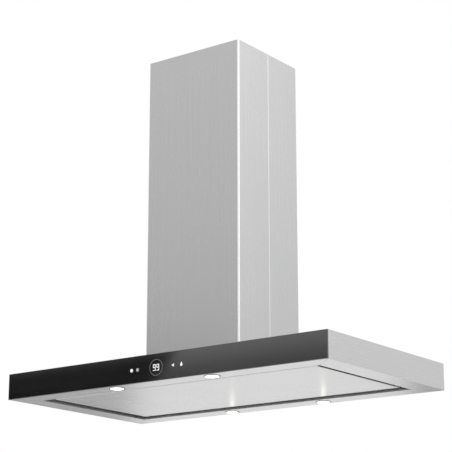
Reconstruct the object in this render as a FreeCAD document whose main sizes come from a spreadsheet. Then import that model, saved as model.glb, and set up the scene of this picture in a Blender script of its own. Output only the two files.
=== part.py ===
import FreeCAD, Part
import math
import os
import re
import Sketcher

# Island range hood: a flat canopy with a glass front, hung from the ceiling by a telescopic
# frame inside a two-part chimney. Millimetres, +Z up, front towards -Y.
# The origin is the centre of the ceiling plate's top face.

SIZES = {
    # canopy
    "canopy_w": 1000,
    "canopy_d": 550,
    "canopy_h": 68,
    "lip_w": 63,
    "skin_t": 1,
    "flange_h": 18,
    "corner_r": 8,
    "bend_r": 1.6,
    "ledge_w": 12,
    "mitre_gap": 0.3,
    # glass front, its prints and the touch control behind it
    "glass_t": 4,
    "glass_chamfer": 0.6,
    "print_t": 0.15,
    "print_rise": 33,
    "ring_r": 20.5,
    "ring_line": 1.4,
    "digit_w": 8,
    "digit_h": 16,
    "digit_gap": 3,
    "stroke": 1.8,
    "dot_r": 4.4,
    "dot_x_outer": 78,
    "dot_x_inner": 59,
    "arrow_x": 52,
    "arrow_size": 8,
    "drop_x": 79,
    "drop_r": 3.4,
    "window_w": 210,
    "window_h": 44,
    "module_d": 16,
    "window_clear": 2,
    # lamps
    "lamp_x": 150,
    "lamp_inset": 30,
    "lamp_hole_r": 19,
    "bezel_r": 21,
    "bezel_drop": 1.5,
    "bezel_wall": 2.2,
    "barrel_h": 10,
    "barrel_clear": 0.2,
    "lens_dome": 1.2,
    "lens_t": 4,
    "lamp_can_h": 14,
    # suction panel
    "panel_gap": 24,
    "panel_recess": 3.5,
    "panel_h": 12,
    "panel_t": 1,
    "panel_r": 2,
    "pivot_r": 3,
    "pivot_clear": 0.05,
    "pivot_inset": 10,
    "pivot_rise": 7,
    "pivot_tail": 0.5,
    "pivot_head_r": 4.5,
    "pivot_head_h": 3,
    "bracket_t": 2,
    "bracket_w": 20,
    "bracket_gap": 2,
    "magnet_w": 24,
    "magnet_d": 14,
    "magnet_gap": 0.3,
    # filters
    "filter_gap": 8,
    "filter_side": 3,
    "filter_end": 25,
    "filter_t": 9,
    "filter_border": 12,
    "mesh_t": 5,
    "support_rise": 34,
    "support_t": 1,
    "support_lap": 10,
    "support_rest": 10,
    "ledge_gap": 6,
    "ledge_t": 2,
    "keeper_t": 2,
    "keeper_w": 50,
    "keeper_gap": 5,
    "latch_w": 30,
    "latch_t": 2,
    "latch_clear": 0.1,
    "latch_slot": 0.5,
    "latch_grip": 4,
    "latch_reach": 1.5,
    "keeper_drop": 5,
    # chimney
    "chimney_w": 300,
    "chimney_d": 270,
    "chimney_h": 840,
    "cover_t": 1,
    "cover_r": 4,
    "cover_seam": 0.5,
    "cover_clear": 1,
    "cover_top_gap": 0.5,
    "upper_cover_h": 520,
    # telescopic frame
    "plate_t": 3,
    "duct_hole_r": 88,
    "bolt_inset": 23,
    "bolt_hole_r": 4,
    "cable_hole_r": 10,
    "post_leg": 20,
    "post_t": 2,
    "post_clear": 0.5,
    "ring_clear": 2,
    "ring_h": 20,
    "ring_rise": 3,
    "upper_post_h": 560,
    "lower_post_top": 70,
    "height_travel": 300,
    "lock_rise": 33,
    "lock_r": 3,
    "lock_clear": 0.3,
    "lock_head_r": 5,
    "lock_head_h": 2.5,
    "lock_nut_h": 4.5,
    "slot_end": 7,
    "base_t": 2,
    "base_rim": 25.5,
    "screw_x": 90,
    "screw_r": 2,
    "screw_head_r": 3.8,
    "screw_head_h": 1.8,
    "screw_tail": 4,
    # blower
    "fan_rise": 130,
    "outlet_rise": 250,
    "scroll_room": 3,
    "scroll_step": 7,
    "scroll_wall": 2.5,
    "tongue_angle": 125,
    "tongue_gap": 12,
    "inlet_lap": 2,
    "wheel_gap": 20,
    "wheel_rim_t": 2,
    "blade_depth": 14,
    "blade_t": 1,
    "blade_lean": 6,
    "blade_inset": 0.5,
    "blade_count": 30,
    "hub_r": 12,
    "hub_front": 14,
    "hub_rear": 6,
    "shaft_r": 4,
    "shaft_clear": 0.06,
    "motor_gap": 2,
    "motor_air": 16,
    "motor_l": 80,
    "mount_ring_w": 8,
    "mount_arm_w": 14,
    "mount_arm_l": 32,
    "mount_t": 3,
    "hanger_t": 3,
    "hanger_w": 41,
    # outlet and its back-draught flaps
    "spigot_r": 75,
    "spigot_wall": 2,
    "spigot_h": 60,
    "collar_t": 2,
    "collar_lap": 3,
    "flap_rise": 18,
    "flap_t": 1,
    "flap_clear": 2,
    "flap_pin_r": 1.5,
    "flap_bore_clear": 0.08,
    "knuckle_r": 3,
    "knuckle_l": 18,
    "knuckle_gap": 2,
    "flap_gap": 0.6,
    # electrical parts
    "box_w": 120,
    "box_d": 34,
    "box_h": 60,
    "box_room": 8,
    "box_wall": 2,
    "lid_t": 1.5,
    "gland_x": 40,
    "gland_r": 9,
    "gland_bore_r": 3.75,
    "gland_hex_h": 12,
    "gland_cap_r": 7.5,
    "gland_cap_h": 10,
    "driver_gap": 6,
    "driver_w": 40,
    "driver_l": 160,
    "driver_h": 22,
}

DERIVED = {
    "deck_z": "-chimney_h",
    "lip_z": "-chimney_h - canopy_h",
    "half_w": "canopy_w / 2",
    "half_d": "canopy_d / 2",
    "skin_y": "half_d - glass_t",
    "open_x": "half_w - lip_w",
    "open_y": "half_d - lip_w",
    "mitre_x": "half_w - lip_w - ledge_w",
    "mitre_y": "half_d - lip_w - ledge_w",
    "mitre_step": "mitre_gap * sqrt(2)",
    "lamp_y": "half_d - lamp_inset",
    "barrel_r": "lamp_hole_r - barrel_clear",
    "lens_r": "barrel_r - bezel_wall",
    "lens_z": "lip_z - bezel_drop",
    "dome_r": "(lens_r * lens_r + lens_dome * lens_dome) / (2 * lens_dome)",
    "print_z": "lip_z + print_rise",
    "panel_x": "open_x - panel_gap",
    "panel_y": "open_y - panel_gap",
    "panel_z": "lip_z + panel_recess",
    "pivot_y": "panel_y - pivot_inset",
    "pivot_z": "panel_z + pivot_rise",
    "magnet_y": "pivot_y",
    "filter_w": "(2 * (panel_x - filter_side) - 2 * filter_gap) / 3",
    "filter_pitch": "filter_w + filter_gap",
    "magnet_x": "filter_pitch / 2",
    "support_z": "lip_z + support_rise",
    "under_z": "support_z - support_t",
    "filter_z": "under_z - filter_t",
    "filter_y": "panel_y - filter_end",
    "keeper_y": "filter_y + keeper_gap",
    "latch_z": "filter_z - latch_clear - latch_t",
    "support_x": "open_x + skin_t + support_t",
    "support_y": "open_y + skin_t + support_t",
    "cover_x": "chimney_w / 2",
    "cover_y": "chimney_d / 2",
    "upper_x": "cover_x - cover_t - cover_clear",
    "upper_y": "cover_y - cover_t - cover_clear",
    "upper_r": "cover_r - cover_t - cover_clear",
    "plate_x": "upper_x - cover_t",
    "plate_y": "upper_y - cover_t",
    "ring_x": "plate_x - ring_clear",
    "ring_y": "plate_y - ring_clear",
    "post_x": "ring_x - post_t",
    "post_y": "ring_y - post_t",
    "inner_x": "post_x - post_t - post_clear",
    "inner_y": "post_y - post_t - post_clear",
    "post_z": "-plate_t - upper_post_h",
    "lock_z": "post_z + lock_rise",
    "lock_y": "post_y - post_leg / 2",
    "bolt_x": "post_x - bolt_inset",
    "bolt_y": "post_y - bolt_inset",
    "base_open_x": "inner_x - base_rim",
    "base_open_y": "inner_y - base_rim",
    "fan_z": "deck_z + fan_rise",
    "scroll_reach": "inner_x - post_leg - scroll_room - scroll_wall - 1.5 * scroll_step",
    "scroll_r": "scroll_reach / (1.5 + cos(tongue_angle * 1deg) / 2)",
    "throat_x": "(3 * scroll_step + scroll_r - scroll_r * cos(tongue_angle * 1deg)) / 2",
    "fan_x": "throat_x - 3 * scroll_step - scroll_r",
    "outlet_z": "deck_z + outlet_rise",
    "scroll_y": "inner_y - post_t - hanger_w",
    "scroll_half_w": "scroll_y - scroll_wall",
    "wheel_r": "scroll_r - tongue_gap",
    "wheel_bore_r": "wheel_r - blade_depth",
    "wheel_half_w": "scroll_half_w - wheel_gap",
    "inlet_r": "wheel_bore_r - inlet_lap",
    "motor_r": "inlet_r - motor_air",
    "motor_y": "hub_rear + motor_gap",
    "collar_z": "outlet_z + collar_t",
    "flap_z": "collar_z + flap_rise",
    "flap_r": "spigot_r - spigot_wall - flap_clear",
    "box_y": "cover_y - cover_t - box_room - box_d",
}

doc = FreeCAD.newDocument("IslandRangeHood")
sheet = doc.addObject("Spreadsheet::Sheet", "Sizes")
for row, (alias, number) in enumerate(SIZES.items(), start=1):
    sheet.set("A%d" % row, alias)
    sheet.set("B%d" % row, str(number))
    sheet.setAlias("B%d" % row, alias)
doc.recompute()

derived = doc.addObject("App::VarSet", "Derived")


def full(text):
    """The text with each size written with the object that holds it."""

    def with_owner(match):
        word = match.group(0)
        if word in SIZES:
            return "Sizes." + word
        if word in DERIVED:
            return "Derived." + word
        return word

    return re.sub(r"[a-z_][a-z_0-9]*", with_owner, str(text))


for alias, formula in DERIVED.items():
    derived.addProperty("App::PropertyFloat", alias, "Derived")
    derived.setExpression(alias, full(formula).replace("Derived.", ""))
doc.recompute()


def value(text):
    """A formula's number, for geometry that is set rather than bound."""
    return float(sheet.evalExpression(full(text)))


nodes = []


def node(item, label):
    """Mark a finished object as the sub-part that the label names."""
    item.Label = label
    nodes.append(item)
    return item


# ---- Part primitives and booleans -----------------------------------------------------------

TURNS = {"x": FreeCAD.Rotation(0, 90, 0), "y": FreeCAD.Rotation(0, 0, -90), "z": FreeCAD.Rotation()}


def bind(item, **formulas):
    """Tie the properties to formulas of the sizes."""
    for name, formula in formulas.items():
        item.setExpression(name, full(formula))
    return item


def place(item, x="0", y="0", z="0"):
    """Tie the object's place to formulas of the sizes."""
    for axis, formula in zip("xyz", (x, y, z)):
        item.setExpression(".Placement.Base." + axis, full(formula))
    return item


def box(name, x, y, z):
    """A block between a low and a high formula along each axis."""
    item = doc.addObject("Part::Box", name)
    spans = ["(%s) - (%s)" % (high, low) for low, high in (x, y, z)]
    bind(item, Length=spans[0], Width=spans[1], Height=spans[2])
    return place(item, x[0], y[0], z[0])


def cylinder(name, radius, length, at, axis="z"):
    """A cylinder that starts at a point and runs along an axis."""
    item = doc.addObject("Part::Cylinder", name)
    item.Placement.Rotation = TURNS[axis]
    bind(item, Radius=radius, Height=length)
    return place(item, *at)


def fuse(name, *shapes):
    item = doc.addObject("Part::MultiFuse", name)
    item.Shapes = list(shapes)
    item.Refine = True
    return item


def group(name, *shapes):
    """Separate solids that share a node."""
    item = doc.addObject("Part::Compound", name)
    item.Links = list(shapes)
    return item


def cut(name, base, *tools):
    item = doc.addObject("Part::Cut", name)
    item.Base = base
    item.Tool = tools[0] if len(tools) == 1 else group(name + "_tools", *tools)
    item.Refine = True
    return item


def common(name, base, tool):
    item = doc.addObject("Part::Common", name)
    item.Base = base
    item.Tool = tool
    item.Refine = True
    return item


def mirror(name, base, normal):
    """The base's image in the plane through the origin with this normal."""
    item = doc.addObject("Part::Mirroring", name)
    item.Source = base
    item.Normal = FreeCAD.Vector(*normal)
    return item


def tube(name, outer, inner, length, at, axis="z"):
    outside = cylinder(name + "_outside", outer, length, at, axis)
    inside = cylinder(name + "_inside", inner, length, at, axis)
    return cut(name, outside, inside)


def frame(name, x, y, thickness, z):
    """A closed rectangular ring, with its outside at plus and minus x and y."""
    outside = box(name + "_outside", ("-(%s)" % x, x), ("-(%s)" % y, y), z)
    in_x = "%s - (%s)" % (x, thickness)
    in_y = "%s - (%s)" % (y, thickness)
    inside = box(name + "_inside", ("-(%s)" % in_x, in_x), ("-(%s)" % in_y, in_y), z)
    return cut(name, outside, inside)


# ---- PartDesign bodies ----------------------------------------------------------------------


def start_body(name):
    return doc.addObject("PartDesign::Body", name)


def start_sketch(body, name, plane="XY_Plane", offset=None):
    """A sketch on one of the body's own origin planes, lifted off it by the offset."""
    item = body.newObject("Sketcher::SketchObject", name)
    support = [feature for feature in body.Origin.OriginFeatures if feature.Role == plane][0]
    item.AttachmentSupport = (support, "")
    item.MapMode = "FlatFace"
    if offset:
        item.setExpression(".AttachmentOffset.Base.z", full(offset))
    return item


def pin_point(item, geometry, position, x, y):
    """Hold a sketch point at the coordinates that the formulas give."""
    for kind, axis, formula in (("DistanceX", -2, x), ("DistanceY", -1, y)):
        if str(formula) == "0":
            item.addConstraint(Sketcher.Constraint("PointOnObject", geometry, position, axis))
            continue
        size = Sketcher.Constraint(kind, -1, 1, geometry, position, value(formula))
        index = item.addConstraint(size)
        item.setExpression("Constraints[%d]" % index, full(formula))


def add_polygon(item, points):
    """A closed outline through the points, each held by its two coordinates."""
    places = [FreeCAD.Vector(value(x), value(y), 0) for x, y in points]
    first = item.GeometryCount
    for start, end in zip(places, places[1:] + places[:1]):
        item.addGeometry(Part.LineSegment(start, end), False)
    last = first + len(points) - 1
    for line in range(first, last):
        item.addConstraint(Sketcher.Constraint("Coincident", line, 2, line + 1, 1))
    item.addConstraint(Sketcher.Constraint("Coincident", last, 2, first, 1))
    for line, (x, y) in enumerate(points, start=first):
        pin_point(item, line, 1, x, y)


def add_rectangle(item, x, y):
    add_polygon(item, [(x[0], y[0]), (x[1], y[0]), (x[1], y[1]), (x[0], y[1])])


def add_circle(item, radius, x="0", y="0"):
    centre = FreeCAD.Vector(value(x), value(y), 0)
    index = item.addGeometry(Part.Circle(centre, FreeCAD.Vector(0, 0, 1), value(radius)), False)
    size = item.addConstraint(Sketcher.Constraint("Radius", index, value(radius)))
    item.setExpression("Constraints[%d]" % size, full(radius))
    pin_point(item, index, 3, x, y)


def pad(body, sketch, length, both_ways=False, backwards=False):
    item = body.newObject("PartDesign::Pad", sketch.Name + "_pad")
    item.Profile = sketch
    item.Midplane = both_ways
    item.Reversed = backwards
    bind(item, Length=length)
    doc.recompute()
    return item


def pocket(body, sketch, length, backwards=False):
    """Cut the sketch into the body, and make sure that it took something away."""
    before = body.Shape.Volume
    item = body.newObject("PartDesign::Pocket", sketch.Name + "_pocket")
    item.Profile = sketch
    item.Reversed = backwards
    bind(item, Length=length)
    doc.recompute()
    if body.Shape.Volume >= before:
        raise ValueError("%s cuts nothing" % item.Name)
    return item


def dress(body, kind, base, test, size):
    """Round or bevel the base's edges whose bounding boxes pass the test."""
    chosen = [
        "Edge%d" % number
        for number, edge in enumerate(base.Shape.Edges, start=1)
        if test(edge.BoundBox)
    ]
    if not chosen:
        raise ValueError("no edge to %s on %s" % (kind, base.Name))
    item = body.newObject("PartDesign::" + kind, base.Name + "_" + kind.lower())
    item.Base = (base, chosen)
    bind(item, **{"Radius" if kind == "Fillet" else "Size": size})
    doc.recompute()
    return item


def near(a, b):
    return abs(a - b) < 1e-4


def upright(b):
    """True for the bounding box of an upright edge."""
    return near(b.XLength, 0) and near(b.YLength, 0)


def upright_at(x, y):
    """A test for the upright edges at plus and minus x and at y."""
    return lambda b: upright(b) and near(abs(b.XMin), x) and near(b.YMin, y)


def prism(name, points, bottom, height):
    """An upright block with a drawn outline, for a cut or a shared shape."""
    body = start_body(name)
    outline = start_sketch(body, name + "_outline")
    add_polygon(outline, points)
    pad(body, outline, height)
    place(body, z=bottom)
    return body


# ---- Ceiling side of the telescopic frame ---------------------------------------------------


def make_ceiling_plate():
    body = start_body("ceiling_plate")
    outline = start_sketch(body, "plate_outline")
    add_rectangle(outline, ("-plate_x", "plate_x"), ("-plate_y", "plate_y"))
    plate = pad(body, outline, "plate_t", backwards=True)
    dress(body, "Fillet", plate, upright, "upper_r - cover_t")
    holes = start_sketch(body, "plate_holes")
    add_circle(holes, "duct_hole_r")
    for across in ("", "-"):
        for along in ("", "-"):
            add_circle(holes, "bolt_hole_r", across + "bolt_x", along + "bolt_y")
    add_circle(holes, "cable_hole_r", "gland_x", "-box_y - box_d / 2")
    pocket(body, holes, "plate_t")
    node(body, "ceiling_plate")


def make_posts(name, x, y, bottom, top):
    """Four upright angle irons with their outside corners at plus and minus x and y."""
    shell = frame(name + "_shell", x, y, "post_t", (bottom, top))
    free_x = "%s - post_leg" % x
    free_y = "%s - post_leg" % y
    across = box(name + "_gap_x", ("-(%s)" % free_x, free_x), ("-canopy_d", "canopy_d"), (bottom, top))
    along = box(name + "_gap_y", ("-canopy_w", "canopy_w"), ("-(%s)" % free_y, free_y), (bottom, top))
    return cut(name + "_irons", shell, across, along)


def corner_set(name, first):
    """The four images of a piece that lies in the corner with positive x and y."""
    beside = mirror(name + "_beside", first, (1, 0, 0))
    pair = group(name + "_pair", first, beside)
    opposite = mirror(name + "_opposite", pair, (0, 1, 0))
    return group(name, pair, opposite)


def make_upper_frame():
    irons = make_posts("upper_posts", "post_x", "post_y", "post_z", "-plate_t")
    hole = cylinder(
        "lock_hole", "lock_r + lock_clear", "4 * post_t", ("post_x - 2 * post_t", "lock_y", "lock_z"), "x"
    )
    node(cut("upper_posts", irons, corner_set("lock_holes", hole)), "upper_posts")
    ring_bottom = "post_z + ring_rise"
    ring = frame("upper_frame_ring", "ring_x", "ring_y", "post_t", (ring_bottom, ring_bottom + " + ring_h"))
    node(ring, "upper_frame_ring")
    nut_x = "inner_x - post_t - lock_clear - lock_nut_h"
    shank = cylinder("lock_shank", "lock_r", "post_x - (%s)" % nut_x, (nut_x, "lock_y", "lock_z"), "x")
    head = cylinder("lock_head", "lock_head_r", "lock_head_h", ("post_x", "lock_y", "lock_z"), "x")
    nut = doc.addObject("Part::Prism", "lock_nut")
    nut.Polygon = 6
    nut.Placement.Rotation = TURNS["x"]
    bind(nut, Circumradius="lock_head_r", Height="lock_nut_h")
    place(nut, nut_x, "lock_y", "lock_z")
    node(corner_set("frame_lock_bolts", fuse("lock_bolt", shank, head, nut)), "frame_lock_bolts")


def make_cover(name, side, x, y, radius, bottom, top):
    """Half of the chimney: a U of sheet with its two free edges at the middle of the sides."""
    edge = side + "cover_seam / 2"
    far = side + y
    inner_far = "%s(%s - cover_t)" % (side, y)
    inner_x = "%s - cover_t" % x
    outline = [
        ("-" + x, edge), ("-" + x, far), (x, far), (x, edge),
        (inner_x, edge), (inner_x, inner_far), ("-(%s)" % inner_x, inner_far), ("-(%s)" % inner_x, edge),
    ]
    body = start_body(name)
    profile = start_sketch(body, name + "_profile")
    add_polygon(profile, outline)
    shell = pad(body, profile, "(%s) - (%s)" % (top, bottom))
    rounded = dress(body, "Fillet", shell, upright_at(value(x), value(far)), radius)
    inside = upright_at(value(inner_x), value(inner_far))
    dress(body, "Fillet", rounded, inside, "%s - cover_t" % radius)
    place(body, z=bottom)
    return node(body, name)


def make_covers():
    for side, sign in (("front", "-"), ("rear", "")):
        make_cover("upper_cover_" + side, sign, "upper_x", "upper_y", "upper_r", "-upper_cover_h", "0")
        make_cover("lower_cover_" + side, sign, "cover_x", "cover_y", "cover_r", "deck_z", "-cover_top_gap")


# ---- Hood side of the telescopic frame ------------------------------------------------------

SCREW_PLACES = [
    ("(inner_x + base_open_x) / 2", "0"), ("screw_x", "(inner_y + base_open_y) / 2"),
]


def screw_tools(name, bottom, top):
    """Round cutters at the places of the base screws."""
    tools = []
    for number, (x, y) in enumerate(SCREW_PLACES, start=1):
        tool = cylinder("%s_%d" % (name, number), "screw_r", "(%s) - (%s)" % (top, bottom), (x, y, bottom))
        tools.append(corner_set("%s_set_%d" % (name, number), tool) if number == 2 else tool)
        if number == 1:
            tools.append(mirror(name + "_side", tool, (1, 0, 0)))
    return tools


def make_lower_frame():
    sheet_z = ("deck_z", "deck_z + base_t")
    opening_x = ("-base_open_x", "base_open_x")
    opening_y = ("-base_open_y", "base_open_y")
    blank = box("base_frame_blank", ("-inner_x", "inner_x"), ("-inner_y", "inner_y"), sheet_z)
    opening = box("base_frame_opening", opening_x, opening_y, sheet_z)
    node(cut("base_frame", blank, opening, *screw_tools("base_hole", *sheet_z)), "base_frame")

    irons = make_posts("lower_posts", "inner_x", "inner_y", "deck_z + base_t", "-lower_post_top")
    slot = box(
        "lock_slot", ("inner_x - 2 * post_t", "inner_x + post_t"),
        ("lock_y - lock_r - lock_clear", "lock_y + lock_r + lock_clear"),
        ("lock_z - lock_r - slot_end", "lock_z + height_travel + lock_r + slot_end"),
    )
    node(cut("lower_posts", irons, corner_set("lock_slots", slot)), "lower_posts")
    ring_top = "-lower_post_top - ring_h / 2"
    ring = frame("lower_frame_ring", "inner_x - post_t", "inner_y - post_t", "post_t",
                 (ring_top + " - ring_h", ring_top))
    node(ring, "lower_frame_ring")

    screws = []
    for number, (x, y) in enumerate(SCREW_PLACES, start=1):
        shank = cylinder(
            "screw_shank_%d" % number, "screw_r", "screw_tail + base_t", (x, y, "deck_z - screw_tail")
        )
        head = cylinder("screw_head_%d" % number, "screw_head_r", "screw_head_h", (x, y, "deck_z + base_t"))
        screw = fuse("screw_%d" % number, shank, head)
        if number == 1:
            screws.append(group("screws_side", screw, mirror("screw_1_beside", screw, (1, 0, 0))))
        else:
            screws.append(corner_set("screws_ends", screw))
    node(group("frame_screws", *screws), "frame_screws")


# ---- Canopy ---------------------------------------------------------------------------------


def make_canopy_skin():
    """The whole folded skin of the canopy, before it is divided into its four rails."""
    body = start_body("canopy_skin")
    outline = start_sketch(body, "skin_outline")
    add_rectangle(outline, ("-half_w", "half_w"), ("-skin_y", "half_d"))
    pad(body, outline, "canopy_h")
    cavity = start_sketch(body, "skin_cavity", offset="skin_t")
    inner_x = "half_w - skin_t"
    inner_rear = "half_d - skin_t"
    add_rectangle(cavity, ("-(%s)" % inner_x, inner_x), ("-skin_y + skin_t", inner_rear))
    hollow = pocket(body, cavity, "canopy_h", backwards=True)
    inner_corner = upright_at(value(inner_x), value(inner_rear))
    filled = dress(body, "Fillet", hollow, inner_corner, "corner_r - skin_t")
    rear_corner = upright_at(value("half_w"), value("half_d"))
    rounded = dress(body, "Fillet", filled, rear_corner, "corner_r")
    front = value("-skin_y")
    bent = lambda b: near(b.ZMin, 0) and near(b.ZMax, 0) and not near(b.YMax, front)
    dress(body, "Fillet", rounded, bent, "bend_r")
    flange = start_sketch(body, "skin_flange")
    outer_x = "open_x + skin_t"
    outer_y = "open_y + skin_t"
    add_rectangle(flange, ("-(%s)" % outer_x, outer_x), ("-(%s)" % outer_y, outer_y))
    pad(body, flange, "flange_h")
    opening = start_sketch(body, "skin_opening")
    add_rectangle(opening, ("-open_x", "open_x"), ("-open_y", "open_y"))
    pocket(body, opening, "flange_h", backwards=True)
    place(body, z="lip_z")
    return body


def make_ledges():
    """Bars inside the walls, under the top panel, that stop short of the corners."""
    ledge_z = ("deck_z - 2 * skin_t", "deck_z - skin_t")
    end_x = "half_w - corner_r - ledge_w"
    end_y = "half_d - corner_r - ledge_w"
    wall_x = "half_w - skin_t"
    rear = "half_d - skin_t"
    front = "-skin_y + skin_t"
    along_x = ("-(%s)" % end_x, end_x)
    along_y = ("-(%s)" % end_y, end_y)
    right = box("ledge_right", (wall_x + " - ledge_w", wall_x), along_y, ledge_z)
    left = mirror("ledge_left", right, (1, 0, 0))
    back = box("ledge_rear", along_x, (rear + " - ledge_w", rear), ledge_z)
    fore = box("ledge_front", along_x, (front, front + " + ledge_w"), ledge_z)
    return [right, left, back, fore]


def lamp_places():
    """The lamps' numbers and centres, front left first."""
    places = [(x, y) for y in ("-lamp_y", "lamp_y") for x in ("-lamp_x", "lamp_x")]
    return list(enumerate(places, start=1))


def make_rails():
    skin = fuse("skin_with_ledges", make_canopy_skin(), *make_ledges())
    lip = ("lip_z", "skin_t")
    holes = [
        cylinder("lamp_hole_%d" % number, "lamp_hole_r", lip[1], (x, y, lip[0]))
        for number, (x, y) in lamp_places()
    ]
    margin = "(canopy_h - window_h) / 2"
    window = box(
        "control_window", ("-window_w / 2", "window_w / 2"), ("-skin_y", "-skin_y + skin_t"),
        ("lip_z + " + margin, "deck_z - " + margin),
    )
    whole = cut("skin_pierced", skin, window, *holes)
    out_x = "half_w + skin_t"
    out_y = "half_d + skin_t"
    for side, sign in (("front", "-"), ("rear", "")):
        far = "%s(%s)" % (sign, out_y)
        close = "%smitre_y" % sign
        points = [("-(%s)" % out_x, far), (out_x, far), ("mitre_x", close), ("-mitre_x", close)]
        block = prism(side + "_mitre", points, "lip_z", "canopy_h")
        node(common(side + "_rail", whole, block), side + "_rail")
    for side, sign in (("left", "-"), ("right", "")):
        far = "%s(%s)" % (sign, out_x)
        close = "%smitre_x" % sign
        end = "%s - mitre_step" % out_y
        near_end = "mitre_y - mitre_step"
        points = [(far, "-(%s)" % end), (far, end), (close, near_end), (close, "-(%s)" % near_end)]
        block = prism(side + "_mitre", points, "lip_z", "canopy_h")
        node(common(side + "_rail", whole, block), side + "_rail")


def make_top_panel():
    body = start_body("top_sheet")
    outline = start_sketch(body, "top_outline")
    edge_x = "half_w - skin_t"
    rear = "half_d - skin_t"
    add_rectangle(outline, ("-(%s)" % edge_x, edge_x), ("-skin_y + skin_t", rear))
    flat = pad(body, outline, "skin_t")
    dress(body, "Fillet", flat, upright_at(value(edge_x), value(rear)), "corner_r - skin_t")
    place(body, z="deck_z - skin_t")
    sheet_z = ("deck_z - skin_t", "deck_z")
    opening_x = ("-base_open_x", "base_open_x")
    opening = box("top_opening", opening_x, ("-base_open_y", "base_open_y"), sheet_z)
    node(cut("top_panel", body, opening, *screw_tools("top_hole", *sheet_z)), "top_panel")


def make_glass():
    body = start_body("glass_front_panel")
    outline = start_sketch(body, "glass_outline")
    add_rectangle(outline, ("-half_w", "half_w"), ("-half_d", "-skin_y"))
    pane = pad(body, outline, "canopy_h")
    front = value("-half_d")
    face_edges = lambda b: near(b.YMin, front) and near(b.YMax, front)
    dress(body, "Chamfer", pane, face_edges, "glass_chamfer")
    place(body, z="lip_z")
    node(body, "glass_front_panel")


def print_box(name, x, z):
    """A printed bar on the glass: x and z are its spans, z from the row's middle."""
    rows = ["print_z + (%s)" % height for height in z]
    return box(name, x, ("-half_d - print_t", "-half_d"), rows)


def make_nine(name, centre):
    """The digit nine in straight bars."""
    left = "%s - digit_w / 2" % centre
    right = "%s + digit_w / 2" % centre
    top = "digit_h / 2"
    bars = {
        "top": ((left, right), (top + " - stroke", top)),
        "middle": ((left, right), ("-stroke / 2", "stroke / 2")),
        "bottom": ((left, right), ("-digit_h / 2", "-digit_h / 2 + stroke")),
        "left": ((left, left + " + stroke"), ("0", top)),
        "right": ((right + " - stroke", right), ("-digit_h / 2", top)),
    }
    return fuse(name, *[print_box("%s_%s" % (name, bar), x, z) for bar, (x, z) in bars.items()])


def make_prints():
    face = "-half_d - print_t"
    ring = tube("display_ring", "ring_r", "ring_r - ring_line", "print_t", ("0", face, "print_z"), "y")
    digits = [
        make_nine("display_digit_" + side, "%s(digit_gap + digit_w) / 2" % sign)
        for side, sign in (("left", "-"), ("right", ""))
    ]
    node(group("display", ring, *digits), "display")

    dots = [
        cylinder("dot_" + name, "dot_r", "print_t", ("-" + x, face, "print_z"), "y")
        for name, x in (("outer", "dot_x_outer"), ("inner", "dot_x_inner"))
    ]
    arrow = print_shape("arrow", [
        ("arrow_x - arrow_size / 2", "0"),
        ("arrow_x + arrow_size / 2", "-arrow_size / 2"),
        ("arrow_x + arrow_size / 2", "arrow_size / 2"),
    ])
    tip = print_shape("drop_tip", [
        ("drop_x - 0.9 * drop_r", "0.1 * drop_r"),
        ("drop_x + 0.9 * drop_r", "0.1 * drop_r"),
        ("drop_x", "1.8 * drop_r"),
    ])
    bulb = cylinder("drop_bulb", "drop_r", "print_t", ("drop_x", face, "print_z - drop_r / 2"), "y")
    node(group("touch_icons", *dots, arrow, fuse("drop", tip, bulb)), "touch_icons")


def print_shape(name, points):
    """A printed shape on the glass with a drawn outline."""
    body = start_body(name)
    outline = start_sketch(body, name + "_outline", "XZ_Plane")
    add_polygon(outline, points)
    pad(body, outline, "print_t")
    return place(body, y="-half_d", z="print_z")


def make_control_module():
    margin = "(canopy_h - window_h) / 2 + window_clear"
    reach = "window_w / 2 - window_clear"
    module = box(
        "control_module", ("-(%s)" % reach, reach), ("-skin_y", "-skin_y + module_d"),
        ("lip_z + " + margin, "deck_z - (%s)" % margin),
    )
    node(module, "control_module")


def make_lamps():
    cans = []
    for number, (x, y) in lamp_places():
        rim = doc.addObject("Part::Cone", "bezel_rim_%d" % number)
        bind(rim, Radius1="bezel_r - bezel_drop / 2", Radius2="bezel_r", Height="bezel_drop")
        place(rim, x, y, "lens_z")
        barrel = cylinder("bezel_barrel_%d" % number, "barrel_r", "barrel_h", (x, y, "lip_z"))
        bore = cylinder("bezel_bore_%d" % number, "lens_r", "bezel_drop + barrel_h", (x, y, "lens_z"))
        bezel = cut("lamp_bezel_%d" % number, fuse("bezel_%d" % number, rim, barrel), bore)
        node(bezel, "lamp_bezel_%d" % number)

        disc = cylinder(
            "lens_disc_%d" % number, "lens_r", "lens_dome + lens_t", (x, y, "lens_z - lens_dome")
        )
        dome = doc.addObject("Part::Sphere", "lens_dome_%d" % number)
        bind(dome, Radius="dome_r")
        place(dome, x, y, "lens_z - lens_dome + dome_r")
        node(common("lamp_lens_%d" % number, disc, dome), "lamp_lens_%d" % number)
        cans.append(cylinder("lamp_can_%d" % number, "barrel_r", "lamp_can_h", (x, y, "lip_z + barrel_h")))
    node(group("lamp_housings", *cans), "lamp_housings")


# ---- Suction panel --------------------------------------------------------------------------


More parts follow.
